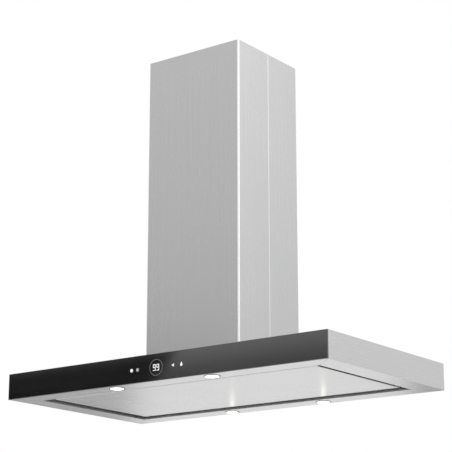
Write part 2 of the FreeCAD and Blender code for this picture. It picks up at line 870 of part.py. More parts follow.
def make_suction_panel():
    body = start_body("panel_tray")
    outline = start_sketch(body, "panel_outline")
    add_rectangle(outline, ("-panel_x", "panel_x"), ("-panel_y", "panel_y"))
    pad(body, outline, "panel_h")
    cavity = start_sketch(body, "panel_cavity", offset="panel_t")
    inner_x = "panel_x - panel_t"
    inner_y = "panel_y - panel_t"
    add_rectangle(cavity, ("-(%s)" % inner_x, inner_x), ("-(%s)" % inner_y, inner_y))
    hollow = pocket(body, cavity, "panel_h", backwards=True)
    inner = lambda b: upright(b) and near(abs(b.XMin), value(inner_x))
    filled = dress(body, "Fillet", hollow, inner, "panel_r - panel_t")
    outer = lambda b: upright(b) and near(abs(b.XMin), value("panel_x"))
    rounded = dress(body, "Fillet", filled, outer, "panel_r")
    bottom = lambda b: near(b.ZMin, 0) and near(b.ZMax, 0)
    dress(body, "Fillet", rounded, bottom, "bend_r")
    place(body, z="panel_z")
    bore = cylinder("pin_hole", "pivot_r", "panel_t", ("panel_x - panel_t", "pivot_y", "pivot_z"), "x")
    node(cut("suction_panel", body, bore, mirror("pin_hole_left", bore, (1, 0, 0))), "suction_panel")

    at = ("pivot_y", "pivot_z")
    reach = "panel_t + bracket_gap + bracket_t + pivot_tail"
    shank = cylinder("pivot_shank", "pivot_r", reach, ("panel_x - panel_t", *at), "x")
    head_x = "panel_x - panel_t - pivot_head_h"
    head = cylinder("pivot_head", "pivot_head_r", "pivot_head_h", (head_x, *at), "x")
    pin = fuse("pivot_pin", shank, head)
    node(group("pivot_pins", pin, mirror("pivot_pin_left", pin, (1, 0, 0))), "pivot_pins")

    face_x = "panel_x + bracket_gap"
    leaf = box(
        "bracket_leaf", (face_x, face_x + " + bracket_t"),
        ("pivot_y - bracket_w / 2", "pivot_y + bracket_w / 2"), ("panel_z + panel_t", "under_z"),
    )
    bore = cylinder("bracket_bore", "pivot_r + pivot_clear", "bracket_t", (face_x, *at), "x")
    bracket = cut("pivot_bracket", leaf, bore)
    node(group("pivot_brackets", bracket, mirror("bracket_left", bracket, (1, 0, 0))), "pivot_brackets")

    catch_x = ("magnet_x - magnet_w / 2", "magnet_x + magnet_w / 2")
    catch_y = ("-magnet_y - magnet_d / 2", "-magnet_y + magnet_d / 2")
    top = "panel_z + panel_h"
    striker = box("striker", catch_x, catch_y, ("panel_z + panel_t", top))
    magnet = box("magnet", catch_x, catch_y, (top + " + magnet_gap", "under_z"))
    node(group("panel_strikers", striker, mirror("striker_left", striker, (1, 0, 0))), "panel_strikers")
    node(group("catch_magnets", magnet, mirror("magnet_left", magnet, (1, 0, 0))), "catch_magnets")


# ---- Filters --------------------------------------------------------------------------------

FILTERS = ((1, "-filter_pitch"), (2, "0"), (3, "filter_pitch"))


def span(centre, half):
    """A low and a high formula about a centre."""
    return ("%s - (%s)" % (centre, half), "%s + (%s)" % (centre, half))


def make_filter_support():
    edge_x = "support_x"
    edge_y = "support_y"
    skirt_z = "lip_z + flange_h - support_lap"
    blank = box("support_blank", ("-support_x", edge_x), ("-support_y", edge_y), (skirt_z, "support_z"))
    inner_x = "support_x - support_t"
    inner_y = "support_y - support_t"
    room = box(
        "support_room", ("-(%s)" % inner_x, inner_x), ("-(%s)" % inner_y, inner_y), (skirt_z, "under_z")
    )
    half_x = "filter_w / 2 - support_rest"
    half_y = "filter_y - support_rest"
    openings = [
        box("support_opening_%d" % number, span(x, half_x), span("0", half_y), ("under_z", "support_z"))
        for number, x in FILTERS
    ]
    node(cut("filter_support", blank, room, *openings), "filter_support")

    reach = "filter_pitch + filter_w / 2"
    along = ("-(%s)" % reach, reach)
    rear = "filter_y + ledge_gap"
    shelf = box("shelf", along, ("filter_y - support_rest", rear), ("filter_z - ledge_t", "filter_z"))
    web = box("shelf_web", along, (rear, rear + " + ledge_t"), ("filter_z - ledge_t", "under_z"))
    node(fuse("rear_filter_ledge", shelf, web), "rear_filter_ledge")

    keepers = []
    for number, x in FILTERS:
        leaf = box(
            "keeper_%d" % number, span(x, "keeper_w / 2"), ("-keeper_y - keeper_t", "-keeper_y"),
            ("filter_z - keeper_drop", "under_z"),
        )
        slot = box(
            "keeper_slot_%d" % number, span(x, "latch_w / 2 + latch_slot"),
            ("-keeper_y - keeper_t", "-keeper_y"), ("latch_z - latch_slot", "filter_z + latch_slot"),
        )
        keepers.append(cut("latch_keeper_%d" % number, leaf, slot))
    node(group("latch_keepers", *keepers), "latch_keepers")


def make_filters():
    meshes = []
    for number, x in FILTERS:
        tall = ("filter_z", "under_z")
        outside = box("filter_blank_%d" % number, span(x, "filter_w / 2"), span("0", "filter_y"), tall)
        inner_x = span(x, "filter_w / 2 - filter_border")
        inner_y = span("0", "filter_y - filter_border")
        inside = box("filter_hole_%d" % number, inner_x, inner_y, tall)
        node(cut("filter_frame_%d" % number, outside, inside), "filter_frame_%d" % number)
        low = "filter_z + (filter_t - mesh_t) / 2"
        meshes.append(box("filter_mesh_%d" % number, inner_x, inner_y, (low, low + " + mesh_t")))

        wide = span(x, "latch_w / 2")
        heel = "-filter_y + filter_border"
        tip = "-keeper_y - keeper_t - latch_reach"
        tongue = box("latch_tongue_%d" % number, wide, (tip, heel), ("latch_z", "latch_z + latch_t"))
        grip_z = ("latch_z - latch_grip", "latch_z")
        grip = box("latch_grip_%d" % number, wide, (heel + " - latch_grip", heel), grip_z)
        node(fuse("filter_latch_%d" % number, tongue, grip), "filter_latch_%d" % number)
    node(group("filter_meshes", *meshes), "filter_meshes")


# ---- Blower ---------------------------------------------------------------------------------


def scroll_face(name, grow, top):
    """The casing's spiral seen along the fan's axis, grown by a wall: three arcs and a throat."""
    step = value("scroll_step")
    radius = value("scroll_r") + grow
    side = value("throat_x") + grow
    centre = FreeCAD.Vector(value("fan_x"), 0, value("fan_z"))
    start = math.degrees(math.acos((-side - centre.x) / radius))
    edges = []
    for begin, end, shift in ((start, 180, (0, 0)), (180, 270, (step, 0)), (270, 360, (0, step))):
        if edges:
            centre = centre + FreeCAD.Vector(shift[0], 0, shift[1])
            radius += step
        turns = [math.radians(angle) for angle in (begin, (begin + end) / 2, end)]
        points = [centre + FreeCAD.Vector(math.cos(a), 0, math.sin(a)) * radius for a in turns]
        edges.append(Part.Arc(*points).toShape())
    first = edges[0].firstVertex().Point
    last = points[-1]
    corners = [last, FreeCAD.Vector(side, 0, top), FreeCAD.Vector(-side, 0, top), first]
    edges += [Part.LineSegment(a, b).toShape() for a, b in zip(corners, corners[1:])]
    item = doc.addObject("Part::Feature", name)
    item.Shape = Part.Face(Part.Wire(Part.__sortEdges__(edges)))
    return item


def extrude_both_ways(name, face, length):
    item = doc.addObject("Part::Extrusion", name)
    item.Base = face
    item.DirMode = "Custom"
    item.Dir = FreeCAD.Vector(0, 1, 0)
    item.Symmetric = True
    item.Solid = True
    return bind(item, LengthFwd=length)


def make_volute():
    wall = value("scroll_wall")
    outlet = value("outlet_z")
    outside = extrude_both_ways("scroll_outside", scroll_face("outer_spiral", wall, outlet), "2 * scroll_y")
    inner = scroll_face("inner_spiral", 0, outlet + wall)
    inside = extrude_both_ways("scroll_inside", inner, "2 * scroll_half_w")
    inlets = cylinder("inlets", "inlet_r", "2 * scroll_y", ("fan_x", "-scroll_y", "fan_z"), "y")
    casing = cut("volute", outside, inside, inlets)
    reach = ("-chimney_w", "chimney_w")
    tall = ("deck_z", "outlet_z")
    front = box("volute_front_half", reach, ("-scroll_y", "0"), tall)
    rear = box("volute_rear_half", reach, ("0", "scroll_y"), tall)
    node(common("volute_front", casing, front), "volute_front")
    node(common("volute_rear", casing, rear), "volute_rear")


def repeat_about_y(body, feature, count):
    """Copies of a feature, evenly spaced about the body's own Y axis."""
    axis = [item for item in body.Origin.OriginFeatures if item.Role == "Y_Axis"][0]
    pattern = body.newObject("PartDesign::PolarPattern", feature.Name + "_pattern")
    pattern.Originals = [feature]
    pattern.Axis = (axis, [""])
    pattern.Angle = 360
    bind(pattern, Occurrences=count)
    body.Tip = pattern
    doc.recompute()
    return pattern


def ring_pad(body, name, outer, inner, rear_y, length):
    """A ring about the body's Y axis that runs forwards from rear_y."""
    outline = start_sketch(body, name, "XZ_Plane", "-(%s)" % rear_y)
    add_circle(outline, outer)
    add_circle(outline, inner)
    return pad(body, outline, length)


def make_impeller():
    body = start_body("impeller")
    ring_pad(body, "back_plate", "wheel_r", "shaft_r", "wheel_rim_t / 2", "wheel_rim_t")
    ring_pad(body, "hub", "hub_r", "shaft_r", "hub_rear", "hub_front + hub_rear")
    blade = start_sketch(body, "blade", "XZ_Plane")
    inner = "wheel_bore_r + blade_inset"
    outer = "wheel_r - 2 * blade_inset"
    add_polygon(blade, [
        (inner, "0"), (outer, "blade_lean"), (outer, "blade_lean + blade_t"), (inner, "blade_t"),
    ])
    first = pad(body, blade, "2 * wheel_half_w", both_ways=True)
    repeat_about_y(body, first, "blade_count")
    rim = ("wheel_r", "wheel_bore_r")
    ring_pad(body, "rear_rim", *rim, "wheel_half_w", "wheel_rim_t")
    ring_pad(body, "front_rim", *rim, "wheel_rim_t - wheel_half_w", "wheel_rim_t")
    place(body, "fan_x", "0", "fan_z")
    node(body, "impeller")
    shaft_l = "hub_front + motor_y + motor_l"
    shaft = cylinder("motor_shaft", "shaft_r", shaft_l, ("fan_x", "-hub_front", "fan_z"), "y")
    node(shaft, "motor_shaft")


def make_motor():
    motor = tube("motor", "motor_r", "shaft_r + shaft_clear", "motor_l", ("fan_x", "motor_y", "fan_z"), "y")
    node(motor, "motor")
    body = start_body("motor_bracket")
    ring_pad(body, "mount_ring", "motor_r + mount_ring_w", "motor_r", "mount_t", "mount_t")
    arm = start_sketch(body, "mount_arm", "XZ_Plane", "-mount_t")
    root = "motor_r + mount_ring_w / 2"
    add_rectangle(arm, ("-mount_arm_w / 2", "mount_arm_w / 2"), (root, "motor_r + mount_arm_l"))
    repeat_about_y(body, pad(body, arm, "mount_t"), "3")
    place(body, "fan_x", "scroll_y", "fan_z")
    node(body, "motor_bracket")


def make_hangers():
    reach = "inner_x - post_t"
    hanger = box(
        "blower_hanger", ("-(%s)" % reach, reach), ("scroll_y", "inner_y - post_t"),
        ("outlet_z - hanger_t", "outlet_z"),
    )
    node(group("blower_hangers", hanger, mirror("hanger_front", hanger, (0, 1, 0))), "blower_hangers")


def make_outlet():
    flange_x = "throat_x + scroll_wall + collar_lap"
    flange_y = "scroll_y + collar_lap"
    flange = box(
        "collar_flange", ("-(%s)" % flange_x, flange_x), ("-(%s)" % flange_y, flange_y),
        ("outlet_z", "collar_z"),
    )
    wall = cylinder("collar_wall", "spigot_r", "spigot_h", ("0", "0", "collar_z"))
    bore_l = "collar_t + spigot_h"
    bore = cylinder("collar_bore", "spigot_r - spigot_wall", bore_l, ("0", "0", "outlet_z"))
    pin_at = ("0", "-spigot_r", "flap_z")
    pin_hole = cylinder("flap_pin_hole", "flap_pin_r", "2 * spigot_r", pin_at, "y")
    node(cut("outlet_collar", fuse("collar", flange, wall), bore, pin_hole), "outlet_collar")
    node(cylinder("flap_pin", "flap_pin_r", "2 * spigot_r", pin_at, "y"), "flap_pin")


def make_flap(side, sign, first):
    """Half a disc that swings on the pin; the two flaps' knuckles take turns along it."""
    name = "flap_" + side
    disc = cylinder(name + "_disc", "flap_r", "flap_t", ("0", "0", "flap_z - flap_t / 2"))
    edge = "%s(knuckle_r + flap_gap)" % sign
    far = "%sspigot_r" % sign
    sheet_z = ("flap_z - flap_t / 2", "flap_z + flap_t / 2")
    half = box(name + "_half", (edge, far) if not sign else (far, edge), ("-spigot_r", "spigot_r"), sheet_z)
    pieces = [common(name + "_leaf", disc, half)]
    pitch = "(knuckle_l + knuckle_gap)"
    for number in range(first, 6, 2):
        start = "%d * %s + knuckle_gap / 2" % (number - 3, pitch)
        at = ("0", start, "flap_z")
        pieces.append(cylinder("%s_knuckle_%d" % (name, number), "knuckle_r", "knuckle_l", at, "y"))
        inner = "%sflap_pin_r" % sign
        tab_x = (inner, edge) if not sign else (edge, inner)
        tab = box("%s_tab_%d" % (name, number), tab_x, (start, start + " + knuckle_l"), sheet_z)
        pieces.append(tab)
    bore_r = "flap_pin_r + flap_bore_clear"
    bore = cylinder(name + "_bore", bore_r, "2 * spigot_r", ("0", "-spigot_r", "flap_z"), "y")
    node(cut(name, fuse(name + "_whole", *pieces), bore), name)


# ---- Electrical parts -----------------------------------------------------------------------


def make_terminal_box():
    foot = "deck_z + base_t"
    top = foot + " + box_h"
    half = "box_w / 2"
    front = "-box_y - box_d"
    shell = box("terminal_blank", ("-box_w / 2", half), (front, "-box_y"), (foot, top))
    room = box(
        "terminal_room", ("-box_w / 2 + box_wall", half + " - box_wall"), (front, "-box_y - box_wall"),
        (foot + " + box_wall", top + " - box_wall"),
    )
    gland_y = "-box_y - box_d / 2"
    entry = cylinder("terminal_entry", "gland_bore_r", "box_wall", ("gland_x", gland_y, top + " - box_wall"))
    node(cut("terminal_box", shell, room, entry), "terminal_box")
    lid = box("terminal_box_lid", ("-box_w / 2", half), (front + " - lid_t", front), (foot, top))
    node(lid, "terminal_box_lid")

    nut = doc.addObject("Part::Prism", "gland_hex")
    nut.Polygon = 6
    bind(nut, Circumradius="gland_r", Height="gland_hex_h")
    place(nut, "gland_x", gland_y, top)
    cap = cylinder("gland_cap", "gland_cap_r", "gland_cap_h", ("gland_x", gland_y, top + " + gland_hex_h"))
    bore_l = "gland_hex_h + gland_cap_h"
    bore = cylinder("gland_bore", "gland_bore_r", bore_l, ("gland_x", gland_y, top))
    node(cut("cable_gland", fuse("gland", nut, cap), bore), "cable_gland")


def make_driver():
    edge = "support_x + driver_gap"
    floor = "lip_z + skin_t"
    driver = box(
        "led_driver", (edge, edge + " + driver_w"), span("0", "driver_l / 2"), (floor, floor + " + driver_h")
    )
    node(driver, "led_driver")


# ---- Build, check and write -----------------------------------------------------------------


def check():
    """Stop if anything failed to build."""
    for item in doc.Objects:
        if "Invalid" in item.State or "Error" in item.State:
            raise ValueError("%s did not build: %s" % (item.Name, item.State))
    for item in nodes:
        if item.Shape.isNull() or not item.Shape.isValid() or not item.Shape.Solids:
            raise ValueError("%s has no sound solid" % item.Label)


make_ceiling_plate()
make_upper_frame()
make_covers()
make_lower_frame()
make_rails()
make_top_panel()
make_glass()
make_prints()
make_control_module()
make_lamps()
make_suction_panel()
make_filter_support()
make_filters()
make_volute()
make_impeller()
make_motor()
make_hangers()
make_outlet()
make_flap("left", "-", 0)
make_flap("right", "", 1)
make_terminal_box()
make_driver()
doc.recompute()
check()
os.makedirs("parts", exist_ok=True)
for item in nodes:
    item.Shape.exportStep("parts/%s.step" % item.Label)
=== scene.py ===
"""The finishes and the fine parts of an island range hood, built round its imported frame."""

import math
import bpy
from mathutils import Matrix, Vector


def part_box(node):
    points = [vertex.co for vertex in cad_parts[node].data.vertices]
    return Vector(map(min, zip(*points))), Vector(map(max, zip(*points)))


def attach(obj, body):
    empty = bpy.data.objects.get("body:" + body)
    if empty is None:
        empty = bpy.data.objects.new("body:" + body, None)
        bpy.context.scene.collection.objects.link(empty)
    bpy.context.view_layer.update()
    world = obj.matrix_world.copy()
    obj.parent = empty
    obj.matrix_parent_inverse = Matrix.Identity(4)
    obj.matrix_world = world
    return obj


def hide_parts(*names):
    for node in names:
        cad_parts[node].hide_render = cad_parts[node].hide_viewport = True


bl_info = {
    "name": "Island Range Hood",
    "version": (1, 0, 0),
    "blender": (4, 5, 0),
    "location": "3D Viewport > Sidebar > Range Hood",
    "description": "Adds the finishes, the fine parts and the studio of an island range hood",
    "category": "Object",
}

import bmesh
import bpy
from bpy.props import FloatProperty, FloatVectorProperty, IntProperty, PointerProperty
from mathutils import Matrix, Vector

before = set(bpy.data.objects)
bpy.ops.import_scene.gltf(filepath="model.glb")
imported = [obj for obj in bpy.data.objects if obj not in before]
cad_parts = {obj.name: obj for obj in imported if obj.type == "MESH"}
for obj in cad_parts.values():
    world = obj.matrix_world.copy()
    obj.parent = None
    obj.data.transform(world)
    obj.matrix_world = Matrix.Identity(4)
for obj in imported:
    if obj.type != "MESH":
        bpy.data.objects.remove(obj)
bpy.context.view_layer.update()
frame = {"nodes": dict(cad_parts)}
nodes = frame["nodes"]

X, Y, Z = 0, 1, 2
FILTERS = (1, 2, 3)
LAMPS = (1, 2, 3, 4)
# Band either side of the mid side seam that gets a painted highlight.
SEAM_HIGHLIGHT_EDGE = (0.0012, 0.0028)
FRONT_CARD_Y = -3.19
REAR_CARD_Y = 5.0
REAR_CARD_TALL = (-3.1, -1.2)
REAR_LAMPS_X = (-0.15, 0.15)
REAR_LAMPS_Y = 0.245
GLOW_Z = -0.936


# ---------------------------------------------------------------- settings


class HoodFinishSettings(bpy.types.PropertyGroup):
    """Colours and gloss that a maker would choose."""

    chimney_colour: FloatVectorProperty(
        name="Chimney steel", description="Colour of the brushed chimney covers",
        subtype="COLOR", size=3, min=0, max=1, default=(0.560, 0.560, 0.562),
    )
    canopy_colour: FloatVectorProperty(
        name="Canopy steel", description="Colour of the brushed canopy and suction panel",
        subtype="COLOR", size=3, min=0, max=1, default=(0.600, 0.600, 0.600),
    )
    glass_colour: FloatVectorProperty(
        name="Glass", description="Colour of the black backed glass",
        subtype="COLOR", size=3, min=0, max=1, default=(0.0100, 0.0100, 0.0105),
    )
    lamp_colour: FloatVectorProperty(
        name="Lamp light", description="Colour of the lamps' light",
        subtype="COLOR", size=3, min=0, max=1, default=(1.0, 0.955, 0.86),
    )
    lamp_power: FloatProperty(
        name="Lamp glow", description="How strongly the lamp lenses glow", default=9.0, min=0,
    )
    steel_roughness: FloatProperty(
        name="Steel roughness", description="Roughness of the brushed sheet",
        subtype="FACTOR", min=0, max=1, default=0.27,
    )


class HoodDetailSettings(bpy.types.PropertyGroup):
    """Sizes of the fine parts."""

    mesh_length: FloatProperty(
        name="Mesh length", description="Long way of one opening of the filter mesh",
        unit="LENGTH", default=0.014, min=0.004,
    )
    mesh_width: FloatProperty(
        name="Mesh width", description="Short way of one opening of the filter mesh",
        unit="LENGTH", default=0.008, min=0.003,
    )
    strand: FloatProperty(
        name="Strand", description="Thickness of one strand of the filter mesh",
        unit="LENGTH", default=0.0011, min=0.0003,
    )
    screw_radius: FloatProperty(
        name="Screw head", description="Radius of a button screw's head",
        unit="LENGTH", default=0.0035, min=0.001,
    )
    grip_ribs: IntProperty(
        name="Grip ribs", description="Ribs under each latch's finger pull", default=5, min=2,
    )


class HoodStudioSettings(bpy.types.PropertyGroup):
    """The camera and the light."""

    lens: FloatProperty(
        name="Lens", description="Focal length of the camera in millimetres", default=123.6,
    )
    camera_place: FloatVectorProperty(
        name="Camera", description="Where the camera stands", subtype="TRANSLATION",
        unit="LENGTH", size=3, default=(2.3773, -3.1969, -1.5579),
    )
    azimuth: FloatProperty(
        name="Azimuth", description="How far round from the front the camera stands",
        subtype="ANGLE", default=math.radians(36.52),
    )
    rise: FloatProperty(
        name="Rise", description="How far the camera looks up",
        subtype="ANGLE", default=math.radians(15.49),
    )
    floor_drop: FloatProperty(
        name="Floor", description="Height from the floor to the ceiling",
        unit="LENGTH", default=3.2, min=1.5,
    )


def finish_settings():
    return bpy.context.scene.hood_finish


def detail_settings():
    return bpy.context.scene.hood_detail


# ---------------------------------------------------------------- shader maths


class Signal:
    """A value, colour or direction in a material, which can stand in a sum."""

    def __init__(self, finish, socket):
        self.finish = finish
        self.socket = socket

    def maths(self, operation, *values):
        return self.finish.node("ShaderNodeMath", {"operation": operation}, dict(enumerate(values)))

    def __add__(self, other):
        return self.maths("ADD", self, other)

    def __sub__(self, other):
        return self.maths("SUBTRACT", self, other)

    def __rsub__(self, other):
        return self.maths("SUBTRACT", other, self)

    def __mul__(self, other):
        return self.maths("MULTIPLY", self, other)

    def __truediv__(self, other):
        return self.maths("DIVIDE", self, other)

    def __pow__(self, other):
        return self.maths("POWER", self, other)

    def __abs__(self):
        return self.maths("ABSOLUTE", self)

    __radd__ = __add__
    __rmul__ = __mul__

    def hypot(self, other):
        return (self * self + other * other) ** 0.5

    def over(self, low, high):
        """Rises smoothly from 0 at low to 1 at high."""
        sockets = {"Value": self, "From Min": low, "From Max": high}
        return self.finish.node("ShaderNodeMapRange", {"interpolation_type": "SMOOTHSTEP"}, sockets)


class Finish:
    """One material, and the one way in which its nodes are added."""

    def __init__(self, name):
        self.material = bpy.data.materials.new(name)
        self.material.use_nodes = True
        self.nodes = self.material.node_tree.nodes
        self.links = self.material.node_tree.links
        self.nodes.clear()
        self.place = self.node("ShaderNodeTexCoord", output="Object")

    def node(self, kind, settings=None, sockets=None, output=0):
        """Adds a node: its settings first, then the values or links of its sockets."""
        made = self.nodes.new(kind)
        for key, setting in (settings or {}).items():
            setattr(made, key, setting)
        for key, given in (sockets or {}).items():
            if isinstance(given, Signal):
                self.links.new(given.socket, made.inputs[key])
            else:
                made.inputs[key].default_value = given
        return Signal(self, made.outputs[output]) if made.outputs else None

    def axis(self, which):
        return self.node("ShaderNodeSeparateXYZ", sockets={0: self.place}, output=which)

    def scaled(self, scale):
        """Object coordinates with a scale of its own for each axis."""
        return self.node("ShaderNodeMapping", sockets={"Vector": self.place, "Scale": scale})

    def noise(self, scale=1.0, vector=None, detail=3.0, roughness=0.5):
        sockets = {
            "Vector": vector or self.place, "Scale": scale, "Detail": detail,
            "Roughness": roughness,
        }
        return self.node("ShaderNodeTexNoise", sockets=sockets)

    def cells(self, scale, output="Color", feature="F1"):
        sockets = {"Vector": self.place, "Scale": scale}
        return self.node("ShaderNodeTexVoronoi", {"feature": feature}, sockets, output)

    def mix(self, factor, first, second):
        """A colour between two colours."""
        sockets = {0: factor, 6: opaque(first), 7: opaque(second)}
        return self.node("ShaderNodeMix", {"data_type": "RGBA"}, sockets, 2)

    def bump(self, height, distance, strength=0.5):
        sockets = {"Height": height, "Distance": distance, "Strength": strength}
        return self.node("ShaderNodeBump", sockets=sockets)

    def done(self, colour, roughness, normal=None, **constants):
        """Ends the material in a Principled shader; constants are set on its own sockets."""
        sockets = {"Base Color": colour, "Roughness": roughness}
        if normal:
            sockets["Normal"] = normal
        for key, given in constants.items():
            sockets[key.replace("_", " ")] = given
        shader = self.node("ShaderNodeBsdfPrincipled", sockets=sockets)
        self.node("ShaderNodeOutputMaterial", sockets={"Surface": shader})
        return self.material


def opaque(colour):
    """A colour with its alpha, or a link as it is."""
    return colour if isinstance(colour, Signal) else (*colour[:3], 1.0)


def shade(colour, amount):
    """A colour made lighter or darker."""
    return tuple(min(1.0, part * amount) for part in colour)


# ---------------------------------------------------------------- finishes


def brushed_steel(name, colour, along, high=None, mitred=None):
    """Sheet brushed along one axis. high is the corner of a box whose upright edges and side
    seams get a painted highlight, and mitred is how much further out in x than in y the welded mitres
    lie."""
    finish = Finish(name)
    fine_scale = [2400.0, 2400.0, 2400.0]
    band_scale = [260.0, 260.0, 260.0]
    fine_scale[along] = 14.0
    band_scale[along] = 2.4
    fine = finish.noise(vector=finish.scaled(fine_scale), detail=4.0, roughness=0.65)
    bands = finish.noise(vector=finish.scaled(band_scale), detail=2.0)
    cloud = finish.noise(scale=4.5, detail=1.0)
    lines = fine * 0.6 + bands * 0.4
    tone = lines.over(0.32, 0.68)
    sheet = finish.mix(tone, shade(colour, 0.97), shade(colour, 1.025))
    if mitred:
        off = abs(abs(finish.axis(X)) - abs(finish.axis(Y)) - mitred)
        sheet = finish.mix((1 - off.over(0.0003, 0.0014)) * 0.55, sheet, shade(colour, 0.45))
    rough = finish_settings().steel_roughness
    gloss = lines * 0.06 + cloud * 0.05 + (rough - 0.055)
    if high:
        near_x = abs(finish.axis(X)).over(high.x - 0.0050, high.x - 0.0026)
        near_y = abs(finish.axis(Y)).over(high.y - 0.0050, high.y - 0.0026)
        # Painted highlight: the upright corners are mixed towards white.
        sheet = finish.mix(near_x * near_y, sheet, (1.0, 1.0, 1.0))
        gloss = gloss + near_x * near_y * 0.12
        # Painted highlight: a lighter band down the middle of each side, along the seam.
        on_side = abs(finish.axis(X)).over(high.x - 0.0030, high.x - 0.0020)
        seam_highlight_band = 1 - abs(finish.axis(Y)).over(*SEAM_HIGHLIGHT_EDGE)
        sheet = finish.mix(on_side * seam_highlight_band * 0.4, sheet, (1.0, 1.0, 1.0))
    relief = finish.bump(fine, 0.00005, 0.35)
    return finish.done(sheet, gloss, relief, Metallic=1.0)


def black_glass(low, high):
    """Glass with a black back, a ground edge, a painted highlight along its top rim and the faint haze
    of wiping.
    """
    finish = Finish("black_glass")
    colour = finish_settings().glass_colour
    haze = finish.noise(scale=9.0, detail=5.0, roughness=0.6)
    wiped = finish.noise(vector=finish.scaled((3.0, 1.0, 60.0)), detail=3.0)
    rim_x = abs(finish.axis(X)).over(high.x - 0.0022, high.x - 0.0008)
    rim_low = 1 - finish.axis(Z).over(low.z + 0.0006, low.z + 0.0018)
    top_rim_highlight = finish.axis(Z).over(high.z - 0.0014, high.z - 0.0004)
    back = finish.mix(haze * wiped, colour, shade(colour, 2.2))
    rimmed = finish.mix(rim_x, back, (0.002, 0.002, 0.002))
    rimmed = finish.mix(rim_low, rimmed, (0.0015, 0.0015, 0.0015))
    # Painted highlight: the top rim is much lighter than the black glass.
    rimmed = finish.mix(top_rim_highlight, rimmed, (0.10, 0.105, 0.10))
    gloss = haze * 0.04 + wiped * 0.03 + rim_x * 0.2 + rim_low * 0.25 + 0.03
    wave = finish.bump(finish.noise(scale=3.0, detail=1.0), 0.0004, 0.10)
    return finish.done(rimmed, gloss, wave, IOR=1.75, Specular_IOR_Level=0.9)


def lit_print(name, split, dim, bright):
    """Printing lit from behind; split gives where the dim part ends."""
    finish = Finish(name)
    grain = finish.noise(scale=900.0, detail=2.0)
    part = split(finish)
    glow = finish.mix(part, dim, bright)
    speckled = finish.mix(grain.over(0.25, 0.75), finish.mix(0.18, glow, (0.0, 0.0, 0.0)), glow)
    return finish.done(
        speckled, grain * 0.1 + 0.35, Emission_Color=speckled, Emission_Strength=0.55,
    )


def polished_trim():
    """Chromed ring with the hair lines that cleaning leaves."""
    finish = Finish("polished_trim")
    hair = finish.noise(vector=finish.scaled((1400.0, 60.0, 1400.0)), detail=3.0)
    cloud = finish.noise(scale=120.0, detail=2.0)
    colour = finish.mix(cloud, (0.30, 0.30, 0.305), (0.42, 0.42, 0.42))
    return finish.done(
        colour, hair * 0.08 + cloud * 0.05 + 0.06, finish.bump(hair, 0.00002, 0.2), Metallic=1.0,
    )


def lamp_glass(centre, radius):
    """Frosted lens, brightest over its light source, with a fine prismatic back."""
    finish = Finish("lamp_glass")
    settings = finish_settings()
    off_x = abs(finish.axis(X)) - abs(centre.x)
    off_y = abs(finish.axis(Y)) - abs(centre.y)
    away = off_x.hypot(off_y) / radius
    prism = finish.cells(620.0, "Distance")
    frost = finish.noise(scale=1500.0, detail=2.0)
    fall = 1 - away.over(0.35, 1.15) * 0.7
    glow = finish.mix(fall * (0.86 + prism * 0.14), (0.10, 0.08, 0.06), settings.lamp_colour)
    return finish.done(
        finish.mix(frost, (0.80, 0.79, 0.77), (0.92, 0.91, 0.88)), frost * 0.2 + 0.35,
        finish.bump(prism + frost * 0.4, 0.0001, 0.4),
        Emission_Color=glow, Emission_Strength=settings.lamp_power,
    )


def galvanised():
    """Zinc coated sheet: flat crystals of different greys."""
    finish = Finish("galvanised")
    crystal = finish.node("ShaderNodeSeparateColor", sockets={0: finish.cells(130.0)}, output=0)
    small = finish.node("ShaderNodeSeparateColor", sockets={0: finish.cells(420.0)}, output=1)
    stain = finish.noise(scale=7.0, detail=4.0)
    tone = crystal * 0.6 + small * 0.25 + stain * 0.15
    colour = finish.mix(tone, (0.40, 0.42, 0.43), (0.66, 0.68, 0.69))
    gloss = 0.30 + crystal * 0.16 + stain * 0.10
    return finish.done(colour, gloss, finish.bump(tone, 0.0001, 0.18), Metallic=1.0)


def zinc_plated():
    """Plated hardware: a little blue and straw, with tooling lines."""
    finish = Finish("zinc_plated")
    tint = finish.noise(scale=90.0, detail=3.0)
    lines = finish.noise(vector=finish.scaled((300.0, 300.0, 2600.0)), detail=2.0)
    colour = finish.mix(tint.over(0.3, 0.7), (0.56, 0.58, 0.62), (0.70, 0.67, 0.58))
    gloss = 0.24 + lines * 0.18
    return finish.done(colour, gloss, finish.bump(lines, 0.00003, 0.3), Metallic=1.0)


def mesh_aluminium():
    """Expanded aluminium strand: bright sheared faces and a dull skin."""
    finish = Finish("mesh_aluminium")
    sheared = finish.noise(vector=finish.scaled((500.0, 160.0, 900.0)), detail=3.0)
    cloud = finish.noise(scale=16.0, detail=3.0)
    colour = finish.mix(sheared, (0.50, 0.51, 0.52), (0.88, 0.88, 0.89))
    colour = finish.mix(cloud * 0.25, colour, (0.42, 0.42, 0.41))
    gloss = 0.26 + sheared * 0.22
    return finish.done(colour, gloss, finish.bump(sheared, 0.0001, 0.4), Metallic=1.0)


def anodised(name, low, high):
    """Satin anodised frame whose grain runs along each of its four sides."""
    finish = Finish(name)
    middle = (low + high) / 2
    reach = (high - low) / 2
    along_x = finish.noise(vector=finish.scaled((8.0, 900.0, 900.0)), detail=3.0)
    along_y = finish.noise(vector=finish.scaled((900.0, 8.0, 900.0)), detail=3.0)
    from_x = abs(finish.axis(X) - middle.x) - reach.x
    from_y = abs(finish.axis(Y) - middle.y) - reach.y
    side = (from_x - from_y).over(-0.0002, 0.0002)
    lines = along_x * (1 - side) + along_y * side
    mitre = 1 - abs(from_x - from_y).over(0.0001, 0.0005)
    colour = finish.mix(lines, (0.60, 0.60, 0.61), (0.84, 0.84, 0.85))
    colour = finish.mix(mitre * 0.7, colour, (0.18, 0.18, 0.18))
    return finish.done(colour, lines * 0.16 + 0.26, finish.bump(lines, 0.00005, 0.25), Metallic=1.0)


